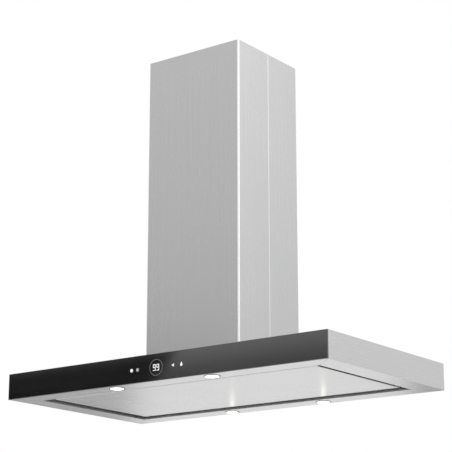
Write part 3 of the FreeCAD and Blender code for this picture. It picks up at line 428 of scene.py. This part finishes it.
def moulded(name, colour, grain=1500.0, shine=0.46):
    """Moulded plastic: spark eroded grain, faint flow marks and lighter rubbed patches."""
    finish = Finish(name)
    pits = finish.cells(grain, "Distance")
    flow = finish.noise(vector=finish.scaled((14.0, 14.0, 5.0)), detail=4.0)
    rubbed = finish.noise(scale=28.0, detail=5.0, roughness=0.7).over(0.55, 0.8)
    tone = finish.mix(flow, shade(colour, 0.82), shade(colour, 1.18))
    tone = finish.mix(rubbed * 0.25, tone, shade(colour, 1.6))
    gloss = shine + flow * 0.08 + pits * 0.12 - rubbed * 0.08
    return finish.done(tone, gloss, finish.bump(pits + flow * 0.3, 0.0001, 0.35))


def cast_aluminium():
    """Die cast motor can: a sandy skin with a cloudy tone."""
    finish = Finish("cast_aluminium")
    sand = finish.noise(scale=520.0, detail=4.0, roughness=0.7)
    cloud = finish.noise(scale=30.0, detail=3.0)
    colour = finish.mix(sand * 0.6 + cloud * 0.4, (0.34, 0.34, 0.35), (0.60, 0.60, 0.61))
    return finish.done(colour, sand * 0.2 + 0.38, finish.bump(sand, 0.0003, 0.5), Metallic=1.0)


def rubber():
    finish = Finish("rubber")
    bloom = finish.noise(scale=60.0, detail=4.0)
    pores = finish.noise(scale=2200.0, detail=2.0)
    colour = finish.mix(bloom, (0.010, 0.010, 0.010), (0.035, 0.035, 0.036))
    return finish.done(colour, pores * 0.15 + 0.62, finish.bump(pores, 0.0001, 0.3))


def painted_floor():
    finish = Finish("painted_floor")
    cloud = finish.noise(scale=0.35, detail=4.0)
    speck = finish.noise(scale=160.0, detail=2.0)
    colour = finish.mix(cloud, (0.80, 0.80, 0.80), (0.86, 0.86, 0.855))
    return finish.done(colour, speck * 0.12 + 0.62, finish.bump(speck, 0.0004, 0.15))


def flag_cloth():
    """Black cloth that thins out along a slanting edge, and upwards beyond it."""
    finish = Finish("flag_cloth")
    slant = finish.axis(X) - finish.axis(Z) * 0.72
    solid = 1 - slant.over(-2.20, -2.12)
    low = (1 - finish.axis(Z).over(-0.26, -0.12)) * 0.6
    return black_cloth(finish, solid.maths("MAXIMUM", solid, low))


def thin_cloth():
    """Open black cloth that lets part of the room through."""
    finish = Finish("thin_cloth")
    return black_cloth(finish, finish.noise(scale=2.0, detail=1.0) * 0.2 + 0.55)


def black_cloth(finish, cover):
    black = finish.node("ShaderNodeBsdfDiffuse", sockets={"Color": (0.004, 0.004, 0.004, 1.0)})
    clear = finish.node("ShaderNodeBsdfTransparent")
    both = finish.node("ShaderNodeMixShader", sockets={0: cover, 1: clear, 2: black})
    finish.node("ShaderNodeOutputMaterial", sockets={"Surface": both})
    return finish.material


def dress(material, *names):
    """Gives a finish to carried over nodes."""
    for name in names:
        slots = nodes[name].data.materials
        slots.clear()
        slots.append(material)


# ---------------------------------------------------------------- building


def new_mesh():
    return bmesh.new()


def piece(name, made, body, material):
    """Turns a bmesh into a piece that rides on a body and takes its finish from a slot."""
    data = bpy.data.meshes.new(name)
    made.to_mesh(data)
    made.free()
    data.materials.append(material)
    built = bpy.data.objects.new(name, data)
    bpy.context.scene.collection.objects.link(built)
    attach(built, body)
    return built


def add_block(made, low, high, bevel=0.0):
    """A box between two corners, with rounded edges."""
    low, high = Vector(low), Vector(high)
    size = Matrix.Diagonal((*(high - low), 1.0))
    verts = bmesh.ops.create_cube(made, size=1.0, matrix=Matrix.Translation((low + high) / 2) @ size)
    if bevel:
        edges = list({edge for vert in verts["verts"] for edge in vert.link_edges})
        bmesh.ops.bevel(
            made, geom=edges, offset=bevel, affect="EDGES", segments=2, profile=0.5, material=-1,
        )


def add_turned(made, profile, at, axis=Z, steps=24, flip=False):
    """A closed turned shape: profile holds (radius, height) pairs from the axis round to it."""
    verts = [made.verts.new((radius, 0.0, height)) for radius, height in profile]
    edges = [made.edges.new(pair) for pair in zip(verts, verts[1:])]
    spun = bmesh.ops.spin(
        made, geom=verts + edges, cent=(0, 0, 0), axis=(0, 0, 1), dvec=(0, 0, 0),
        angle=math.tau, steps=steps, use_merge=True, use_duplicate=False,
    )
    found = {vert for item in spun["geom_last"] for vert in getattr(item, "verts", [item])}
    shape = set(verts) | found
    grown = True
    while grown:
        grown = {e.other_vert(v) for v in shape for e in v.link_edges} - shape
        shape |= grown
    bmesh.ops.remove_doubles(made, verts=list(shape), dist=1e-7)
    shape = [vert for vert in shape if vert.is_valid]
    turn = {
        X: Matrix.Rotation(math.radians(90), 4, "Y"),
        Y: Matrix.Rotation(math.radians(-90), 4, "X"),
        Z: Matrix.Identity(4),
    }[axis]
    if flip:
        turn = turn @ Matrix.Rotation(math.radians(180), 4, "X")
    bmesh.ops.transform(made, matrix=Matrix.Translation(Vector(at)) @ turn, verts=shape)
    faces = list({face for vert in shape for face in vert.link_faces})
    bmesh.ops.recalc_face_normals(made, faces=faces)
    for face in faces:
        face.smooth = True


def add_screw(made, at, axis=Z, flip=False, radius=None):
    """A button head screw with a washer face and a round socket."""
    r = radius or detail_settings().screw_radius
    profile = [
        (0.0, 0.25 * r), (0.34 * r, 0.25 * r), (0.40 * r, 0.62 * r), (0.62 * r, 0.60 * r),
        (0.86 * r, 0.42 * r), (0.98 * r, 0.14 * r), (1.28 * r, 0.12 * r), (1.28 * r, 0.0), (0.0, 0.0),
    ]
    add_turned(made, profile, at, axis, 18, flip)


def centre(name):
    low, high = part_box(name)
    return (low + high) / 2


def screws(name, places, body, material, axis=Z, flip=False, radius=None):
    """One piece with a screw at every place."""
    made = new_mesh()
    for at in places:
        add_screw(made, at, axis, flip, radius)
    return piece(name, made, body, material)


def add_profile(made, points, axis, start, end, wall):
    """A bent strip: points are (across, up) pairs of its section, drawn out along X or Y."""
    turned = (lambda a, h: (start, a, h)) if axis == X else (lambda a, h: (a, start, h))
    verts = [made.verts.new(turned(*point)) for point in points]
    edges = [made.edges.new(pair) for pair in zip(verts, verts[1:])]
    drawn = bmesh.ops.extrude_edge_only(made, edges=edges)["geom"]
    way = Vector((end - start, 0, 0)) if axis == X else Vector((0, end - start, 0))
    far = [item for item in drawn if isinstance(item, bmesh.types.BMVert)]
    bmesh.ops.translate(made, verts=far, vec=way)
    faces = [item for item in drawn if isinstance(item, bmesh.types.BMFace)]
    bmesh.ops.recalc_face_normals(made, faces=faces)
    if faces[0].normal.z < 0:
        bmesh.ops.reverse_faces(made, faces=faces)
    bmesh.ops.solidify(made, geom=faces + edges + verts, thickness=-wall)


def add_weave(made, low, high, height, slide):
    """One layer of expanded mesh: a lattice of diamonds cut to a rectangle, then opened out."""
    settings = detail_settings()
    long, short = settings.mesh_length, settings.mesh_width
    middle = (low + high) / 2
    reach_x = (high.x - low.x) / 2
    reach_y = (high.y - low.y) / 2
    count = 2 * math.ceil(reach_x / long + reach_y / short + 1)
    side = math.sqrt(0.5)
    grid = bmesh.ops.create_grid(
        made, x_segments=count, y_segments=count, size=count * side / 2,
        matrix=Matrix.Rotation(math.radians(45), 4, "Z"),
    )["verts"]
    bmesh.ops.scale(made, vec=(long, short, 1.0), verts=grid)
    bmesh.ops.translate(made, vec=(middle.x + slide, middle.y, height), verts=grid)
    sides = (((low.x, 0, 0), (-1, 0, 0)), ((high.x, 0, 0), (1, 0, 0)),
             ((0, low.y, 0), (0, -1, 0)), ((0, high.y, 0), (0, 1, 0)))
    layer = [face for face in made.faces if abs(face.calc_center_median().z - height) < 1e-6]
    for point, outwards in sides:
        geometry = {item for face in layer for item in (face, *face.edges, *face.verts)}
        cut = bmesh.ops.bisect_plane(
            made, geom=list(geometry), plane_co=point, plane_no=outwards, clear_outer=True,
        )["geom"]
        layer = [item for item in cut if isinstance(item, bmesh.types.BMFace) and item.is_valid]
    bmesh.ops.wireframe(
        made, faces=layer, thickness=settings.strand, use_replace=True, use_boundary=True,
        use_even_offset=True,
    )


# ---------------------------------------------------------------- operators


class HoodOperator:
    """What every operator of this file shares."""

    bl_options = {"REGISTER", "UNDO"}

    def execute(self, context):
        if not nodes:
            raise RuntimeError("the packed frame holds no nodes")
        self.make()
        return {"FINISHED"}


class HOOD_OT_chimney(HoodOperator, bpy.types.Operator):
    """Brushed covers of the telescopic chimney, and the bead that closes their side seams"""

    bl_idname = "hood.chimney"
    bl_label = "Chimney"

    def make(self):
        colour = finish_settings().chimney_colour
        for level, body, widest in (
            ("upper", "ceiling_mount", "upper_cover_front"), ("lower", "hood", "lower_cover_front"),
        ):
            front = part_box(level + "_cover_front")
            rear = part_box(level + "_cover_rear")
            high = Vector(map(max, front[1], rear[1]))
            # high gives the covers' upright corners and side seams a painted highlight.
            steel = brushed_steel(level + "_cover_steel", colour, Z, high)
            dress(steel, level + "_cover_front", level + "_cover_rear")
            self.make_seams(level, body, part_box(widest))

    def make_seams(self, level, body, box):
        """A backing strip inside each side seam, with a bead that lies between the covers."""
        low, high = box
        wall = 0.0011
        strip = 0.0012
        half = 0.007
        bead = 0.00022
        top = high.z - 0.004
        foot = low.z + 0.004
        made = new_mesh()
        for side in (-1, 1):
            inside = side * (high.x - wall)
            edges = sorted((inside, inside - side * strip))
            add_block(made, (edges[0], -half, foot), (edges[1], half, top), 0.0002)
            proud = sorted((inside - side * 0.0002, side * (high.x - 0.00005)))
            add_block(made, (proud[0], -bead, foot), (proud[1], bead, top), 0.00005)
        # The strips and bead take steel much lighter than the covers, a painted highlight along the
        # seam.
        bright = brushed_steel(level + "_seam_highlight_steel", (0.93, 0.93, 0.93), Z)
        piece(level + "_seam_strips", made, body, bright)


class HOOD_OT_canopy(HoodOperator, bpy.types.Operator):
    """Brushed rails and top sheet of the canopy, each with its grain along its own length"""

    bl_idname = "hood.canopy"
    bl_label = "Canopy"

    def make(self):
        colour = finish_settings().canopy_colour
        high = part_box("rear_rail")[1]
        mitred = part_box("right_rail")[1].x - high.y
        dress(brushed_steel("long_rail_steel", colour, X, None, mitred), "front_rail", "rear_rail")
        dress(brushed_steel("end_rail_steel", colour, Y, None, mitred), "left_rail", "right_rail")
        dress(brushed_steel("top_sheet_steel", colour, X), "top_panel")


class HOOD_OT_controls(HoodOperator, bpy.types.Operator):
    """Black glass front with its lit touch controls"""

    bl_idname = "hood.controls"
    bl_label = "Glass and controls"

    def make(self):
        low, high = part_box("glass_front_panel")
        dress(black_glass(low, high), "glass_front_panel")
        middle = centre("display")
        ring = (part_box("display")[1].x - middle.x) * 0.85

        def inside_ring(finish):
            off_z = finish.axis(Z) - middle.z
            return 1 - (finish.axis(X) - middle.x).hypot(off_z).over(ring - 0.0005, ring)

        ring_grey = (0.11, 0.115, 0.12)
        digit_white = (0.80, 0.82, 0.84)
        dress(lit_print("display_print", inside_ring, ring_grey, digit_white), "display")
        near_dot = -0.0685

        def not_near_dot(finish):
            away = abs(finish.axis(X) - (near_dot + 0.0095))
            return away.over(0.005, 0.0055)

        icons = lit_print("icon_print", not_near_dot, (0.30, 0.31, 0.32), (0.72, 0.74, 0.75))
        dress(icons, "touch_icons")
        dress(moulded("control_plastic", (0.02, 0.02, 0.021)), "control_module")


class HOOD_OT_lamps(HoodOperator, bpy.types.Operator):
    """Four lamps: chromed bezels, frosted lenses, sealing rings and their housings"""

    bl_idname = "hood.lamps"
    bl_label = "Lamps"

    def make(self):
        low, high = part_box("lamp_lens_2")
        lens = lamp_glass((low + high) / 2, (high.x - low.x) / 2)
        trim = polished_trim()
        seal = rubber()
        for number in LAMPS:
            dress(lens, "lamp_lens_%d" % number)
            dress(trim, "lamp_bezel_%d" % number)
            self.make_seal(number, seal)
        dress(moulded("lamp_plastic", (0.02, 0.02, 0.02), 1200.0), "lamp_housings")

    def make_seal(self, number, material):
        """A soft ring between the lens and its bezel."""
        low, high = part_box("lamp_lens_%d" % number)
        middle = (low + high) / 2
        radius = (high.x - low.x) / 2 + 0.0002
        thick = 0.0005
        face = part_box("lamp_bezel_%d" % number)[0].z
        made = new_mesh()
        ring = bmesh.ops.create_circle(
            made, cap_ends=False, segments=10, radius=thick,
            matrix=Matrix.Translation((radius, 0, 0)) @ Matrix.Rotation(math.radians(90), 4, "X"),
        )["verts"]
        edges = list({edge for vert in ring for edge in vert.link_edges})
        bmesh.ops.spin(
            made, geom=ring + edges, cent=(0, 0, 0), axis=(0, 0, 1), dvec=(0, 0, 0),
            angle=math.tau, steps=48, use_merge=True, use_duplicate=False,
        )
        bmesh.ops.remove_doubles(made, verts=made.verts, dist=1e-7)
        bmesh.ops.translate(made, verts=made.verts, vec=(middle.x, middle.y, face + thick * 0.4))
        bmesh.ops.recalc_face_normals(made, faces=made.faces)
        for item in made.faces:
            item.smooth = True
        piece("lamp_seal_%d" % number, made, "hood", material)


class HOOD_OT_suction_panel(HoodOperator, bpy.types.Operator):
    """Brushed suction panel with the ribs and their rivets on its inner face"""

    bl_idname = "hood.suction_panel"
    bl_label = "Suction panel"

    def make(self):
        colour = finish_settings().canopy_colour
        dress(brushed_steel("panel_steel", colour, X), "suction_panel")
        zinc = zinc_plated()
        dress(zinc, "pivot_pins", "pivot_brackets", "panel_strikers")
        dress(moulded("magnet_plastic", (0.03, 0.03, 0.03)), "catch_magnets")
        low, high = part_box("suction_panel")
        sheet = low.z + 0.001
        steel = galvanised()
        made = new_mesh()
        section = ((-0.022, 0), (-0.012, 0), (-0.009, 0.0052), (0.009, 0.0052), (0.012, 0), (0.022, 0))
        reach = 0.276
        for x in (-reach, 0.0, reach):
            points = [(x + across, sheet + up) for across, up in section]
            add_profile(made, points, Y, low.y + 0.03, high.y - 0.02, 0.0008)
        piece("panel_ribs", made, "suction_panel", steel)
        spots = [
            (x + side * 0.0175, y, sheet + 0.0008)
            for x in (-reach, 0.0, reach) for side in (-1, 1) for y in (-0.12, -0.04, 0.04, 0.12)
        ]
        screws("panel_rib_rivets", spots, "suction_panel", zinc, radius=0.0019)


class HOOD_OT_filters(HoodOperator, bpy.types.Operator):
    """Grease filters with expanded mesh, their latches, keepers and the frame that holds them"""

    bl_idname = "hood.filters"
    bl_label = "Filters"

    def make(self):
        settings = detail_settings()
        strand = mesh_aluminium()
        border = 0.012
        for number in FILTERS:
            low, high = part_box("filter_frame_%d" % number)
            dress(anodised("filter_frame_alloy_%d" % number, low, high), "filter_frame_%d" % number)
            inner_low = low + Vector((border, border, 0))
            inner_high = high - Vector((border, border, 0))
            made = new_mesh()
            add_weave(made, inner_low, inner_high, low.z + 0.0030, 0.0)
            add_weave(made, inner_low, inner_high, low.z + 0.0056, settings.mesh_length / 4)
            weave = piece("filter_weave_%d" % number, made, "hood", strand)
            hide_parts("filter_meshes")
            self.make_latch(number)
        zinc = zinc_plated()
        dress(zinc, "latch_keepers")
        dress(galvanised(), "filter_support", "rear_filter_ledge")
        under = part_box("filter_frame_1")[1].z
        spots = [(x, y, under) for x in (-0.40, -0.2, 0.0, 0.2, 0.40) for y in (-0.203, 0.203)]
        screws("support_screws", spots, "hood", zinc, flip=True)

    def make_latch(self, number):
        """Ribs under the latch's finger pull."""
        name = "filter_latch_%d" % number
        plastic = moulded("latch_plastic_%d" % number, (0.025, 0.025, 0.026), 1700.0)
        dress(plastic, name)
        low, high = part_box(name)
        count = detail_settings().grip_ribs
        made = new_mesh()
        pitch = (high.x - low.x) / (count + 1)
        for index in range(count):
            x = low.x + pitch * (index + 1)
            start = (x - 0.0006, high.y - 0.0038, low.z - 0.0005)
            add_block(made, start, (x + 0.0006, high.y - 0.0002, low.z + 0.0006), 0.00025)
        piece("latch_grip_%d" % number, made, "latch_%d" % number, plastic)


class HOOD_OT_structure(HoodOperator, bpy.types.Operator):
    """Galvanised ceiling plate, posts and frames, with their bolts and screws"""

    bl_idname = "hood.structure"
    bl_label = "Frame"

    def make(self):
        steel = galvanised()
        dress(
            steel, "ceiling_plate", "upper_posts", "upper_frame_ring", "base_frame",
            "lower_posts", "lower_frame_ring", "blower_hangers",
        )
        zinc = zinc_plated()
        dress(zinc, "frame_lock_bolts", "frame_screws")
        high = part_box("upper_posts")[1]
        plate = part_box("ceiling_plate")[0].z
        reach_x, reach_y = high.x - 0.018, high.y - 0.010
        spots = [(x * reach_x, y * reach_y, plate) for x in (-1, 1) for y in (-1, 1)]
        screws("post_screws", spots, "ceiling_mount", zinc, flip=True)


class HOOD_OT_blower(HoodOperator, bpy.types.Operator):
    """Blower casing, wheel, motor and outlet with its flaps"""

    bl_idname = "hood.blower"
    bl_label = "Blower"

    def make(self):
        zinc = zinc_plated()
        grey = moulded("casing_plastic", (0.20, 0.205, 0.21), 900.0)
        white = moulded("flap_plastic", (0.62, 0.62, 0.60), 1300.0)
        cast = cast_aluminium()
        dress(grey, "volute_front", "volute_rear", "outlet_collar")
        dress(galvanised(), "impeller")
        dress(zinc, "motor_shaft", "motor_bracket", "flap_pin")
        dress(cast, "motor")
        dress(white, "flap_left", "flap_right")
        middle = centre("motor")
        low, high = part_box("motor")
        radius = (high.x - low.x) / 2
        made = new_mesh()
        cap = [
            (0.0, 0.0), (radius * 0.94, 0.0), (radius * 0.90, 0.0024), (radius * 0.62, 0.0040),
            (radius * 0.34, 0.0042), (radius * 0.30, 0.0090), (radius * 0.12, 0.0094), (0.0, 0.0094),
        ]
        add_turned(made, cap, (middle.x, high.y, middle.z), Y, 48)
        for step in range(12):
            angle = math.tau * step / 12
            way = Vector((math.cos(angle), 0, math.sin(angle)))
            spot = Vector((middle.x, high.y + 0.0036, middle.z)) + way * radius * 0.5
            add_turned(made, [(0, 0), (0.0018, 0), (0.0014, 0.002), (0, 0.0022)], spot, Y, 8)
        piece("motor_cap", made, "hood", cast)


class HOOD_OT_electrics(HoodOperator, bpy.types.Operator):
    """Terminal box with its lid screws, cable gland and lamp driver"""

    bl_idname = "hood.electrics"
    bl_label = "Electrics"

    def make(self):
        zinc = zinc_plated()
        grey = moulded("box_plastic", (0.26, 0.265, 0.27), 1100.0)
        black = moulded("gland_plastic", (0.022, 0.022, 0.023), 1500.0)
        white = moulded("driver_plastic", (0.66, 0.66, 0.64), 1300.0)
        dress(grey, "terminal_box", "terminal_box_lid")
        dress(black, "cable_gland")
        dress(white, "led_driver")
        low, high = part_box("terminal_box_lid")
        inset = 0.006
        spots = [
            (x, low.y, z) for x in (low.x + inset, high.x - inset)
            for z in (low.z + inset, high.z - inset)
        ]
        screws("lid_screws", spots, "hood", zinc, Y, True, 0.0022)
        low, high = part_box("led_driver")
        inset = 0.006
        spots = [
            (x, y, high.z) for x in (low.x + inset, high.x - inset)
            for y in (low.y + inset, high.y - inset)
        ]
        screws("driver_screws", spots, "hood", zinc, radius=0.002)


class HOOD_OT_studio(HoodOperator, bpy.types.Operator):
    """Plain pale floor, soft studio light and the camera"""

    bl_idname = "hood.studio"
    bl_label = "Studio"

    def make(self):
        settings = bpy.context.scene.hood_studio
        self.make_camera(settings)
        self.make_floor(settings)
        self.make_world()
        self.make_card("studio_flag", FRONT_CARD_Y, (-5.2, -0.6), (-0.40, -0.105), flag_cloth())
        for name, wide in (("studio_shade_left", (-9.0, -4.5)), ("studio_shade_right", (-2.3, 2.0))):
            self.make_card(name, REAR_CARD_Y, wide, REAR_CARD_TALL, thin_cloth())
        self.make_light("side_light", (4.2, 2.4, 1.6), (0, 0, -0.4), 2.6, 2.6, 24.0)
        for x in REAR_LAMPS_X:
            at = (x, REAR_LAMPS_Y, GLOW_Z)
            towards = (x + 0.56, -0.58, GLOW_Z)
            glow = self.make_light("lamp_glow", at, towards, 0.012, 0.040, 0.0009)
            glow.data.color = finish_settings().lamp_colour
            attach(glow, "hood")
        bpy.context.scene.view_settings.view_transform = "Standard"

    def make_camera(self, settings):
        data = bpy.data.cameras.new("studio_camera")
        data.lens = settings.lens
        data.sensor_width = 36.0
        camera = bpy.data.objects.new("studio_camera", data)
        bpy.context.scene.collection.objects.link(camera)
        level = math.cos(settings.rise)
        back = Vector((
            math.sin(settings.azimuth) * level, -math.cos(settings.azimuth) * level,
            -math.sin(settings.rise),
        ))
        camera.location = settings.camera_place
        camera.rotation_mode = "QUATERNION"
        camera.rotation_quaternion = back.to_track_quat("Z", "Y")
        bpy.context.scene.camera = camera

    def make_floor(self, settings):
        made = new_mesh()
        bmesh.ops.create_grid(made, x_segments=8, y_segments=8, size=60.0)
        bmesh.ops.translate(made, verts=made.verts, vec=(0, 0, -settings.floor_drop))
        data = bpy.data.meshes.new("studio_floor")
        made.to_mesh(data)
        made.free()
        data.materials.append(painted_floor())
        floor = bpy.data.objects.new("studio_floor", data)
        bpy.context.scene.collection.objects.link(floor)

    def make_card(self, name, depth, wide, tall, cloth):
        """A black card that only reflections see."""
        made = new_mesh()
        corners = ((wide[0], tall[0]), (wide[1], tall[0]), (wide[1], tall[1]), (wide[0], tall[1]))
        verts = [made.verts.new((x, depth, z)) for x, z in corners]
        made.faces.new(verts)
        bmesh.ops.subdivide_edges(made, edges=made.edges, cuts=3, use_grid_fill=True)
        data = bpy.data.meshes.new(name)
        made.to_mesh(data)
        made.free()
        data.materials.append(cloth)
        flag = bpy.data.objects.new(name, data)
        bpy.context.scene.collection.objects.link(flag)
        flag.visible_camera = False
        flag.visible_diffuse = False
        flag.visible_shadow = False

    def make_world(self):
        """White to the camera; for everything else a soft room, brighter behind and overhead."""
        world = bpy.data.worlds.new("studio_room")
        world.use_nodes = True
        tree = world.node_tree
        tree.nodes.clear()
        place = tree.nodes.new("ShaderNodeTexCoord")
        parts = tree.nodes.new("ShaderNodeSeparateXYZ")
        tree.links.new(place.outputs["Generated"], parts.inputs[0])
        depth = tree.nodes.new("ShaderNodeMapRange")
        for key, given in (("From Min", -1.0), ("From Max", 1.0), ("To Min", 0.68), ("To Max", 0.88)):
            depth.inputs[key].default_value = given
        tree.links.new(parts.outputs["Y"], depth.inputs["Value"])
        height = tree.nodes.new("ShaderNodeMapRange")
        height.interpolation_type = "SMOOTHSTEP"
        for key, given in (("From Min", 0.1), ("From Max", 0.95), ("To Min", 0.0), ("To Max", 0.55)):
            height.inputs[key].default_value = given
        tree.links.new(parts.outputs["Z"], height.inputs["Value"])
        total = tree.nodes.new("ShaderNodeMath")
        tree.links.new(depth.outputs[0], total.inputs[0])
        tree.links.new(height.outputs[0], total.inputs[1])
        room = tree.nodes.new("ShaderNodeBackground")
        tree.links.new(total.outputs[0], room.inputs["Strength"])
        seen = tree.nodes.new("ShaderNodeBackground")
        seen.inputs["Strength"].default_value = 1.0
        for shader in (room, seen):
            shader.inputs["Color"].default_value = (1.0, 1.0, 1.0, 1.0)
        ray = tree.nodes.new("ShaderNodeLightPath")
        both = tree.nodes.new("ShaderNodeMixShader")
        out = tree.nodes.new("ShaderNodeOutputWorld")
        tree.links.new(ray.outputs["Is Camera Ray"], both.inputs[0])
        tree.links.new(room.outputs[0], both.inputs[1])
        tree.links.new(seen.outputs[0], both.inputs[2])
        tree.links.new(both.outputs[0], out.inputs[0])
        bpy.context.scene.world = world

    def make_light(self, name, at, towards, wide, tall, power):
        data = bpy.data.lights.new(name, "AREA")
        data.shape = "RECTANGLE"
        data.size = wide
        data.size_y = tall
        data.energy = power
        light = bpy.data.objects.new(name, data)
        light.location = at
        light.rotation_mode = "QUATERNION"
        light.rotation_quaternion = (Vector(at) - Vector(towards)).to_track_quat("Z", "Y")
        light.visible_camera = False
        bpy.context.scene.collection.objects.link(light)
        return light


class HOOD_PT_panel(bpy.types.Panel):
    """Lists the steps that finish the range hood"""

    bl_label = "Range Hood"
    bl_idname = "HOOD_PT_panel"
    bl_space_type = "VIEW_3D"
    bl_region_type = "UI"
    bl_category = "Range Hood"

    def draw(self, context):
        for group in (context.scene.hood_finish, context.scene.hood_detail, context.scene.hood_studio):
            box = self.layout.box()
            for key in group.__annotations__:
                box.prop(group, key)
        for step in STEPS:
            self.layout.operator(step.bl_idname)


STEPS = (
    HOOD_OT_studio, HOOD_OT_chimney, HOOD_OT_canopy, HOOD_OT_controls, HOOD_OT_lamps,
    HOOD_OT_suction_panel, HOOD_OT_filters, HOOD_OT_structure, HOOD_OT_blower, HOOD_OT_electrics,
)
GROUPS = {
    "hood_finish": HoodFinishSettings, "hood_detail": HoodDetailSettings,
    "hood_studio": HoodStudioSettings,
}


def register():
    for made in (*GROUPS.values(), *STEPS, HOOD_PT_panel):
        bpy.utils.register_class(made)
    for key, group in GROUPS.items():
        setattr(bpy.types.Scene, key, PointerProperty(type=group))


def unregister():
    for key in GROUPS:
        delattr(bpy.types.Scene, key)
    for made in reversed((*GROUPS.values(), *STEPS, HOOD_PT_panel)):
        bpy.utils.unregister_class(made)


def main():
    register()
    for step in STEPS:
        group, name = step.bl_idname.split(".")
        result = getattr(getattr(bpy.ops, group), name)()
        if result != {"FINISHED"}:
            raise RuntimeError("%s didn't finish" % step.bl_label)


if __name__ == "__main__":
    main()
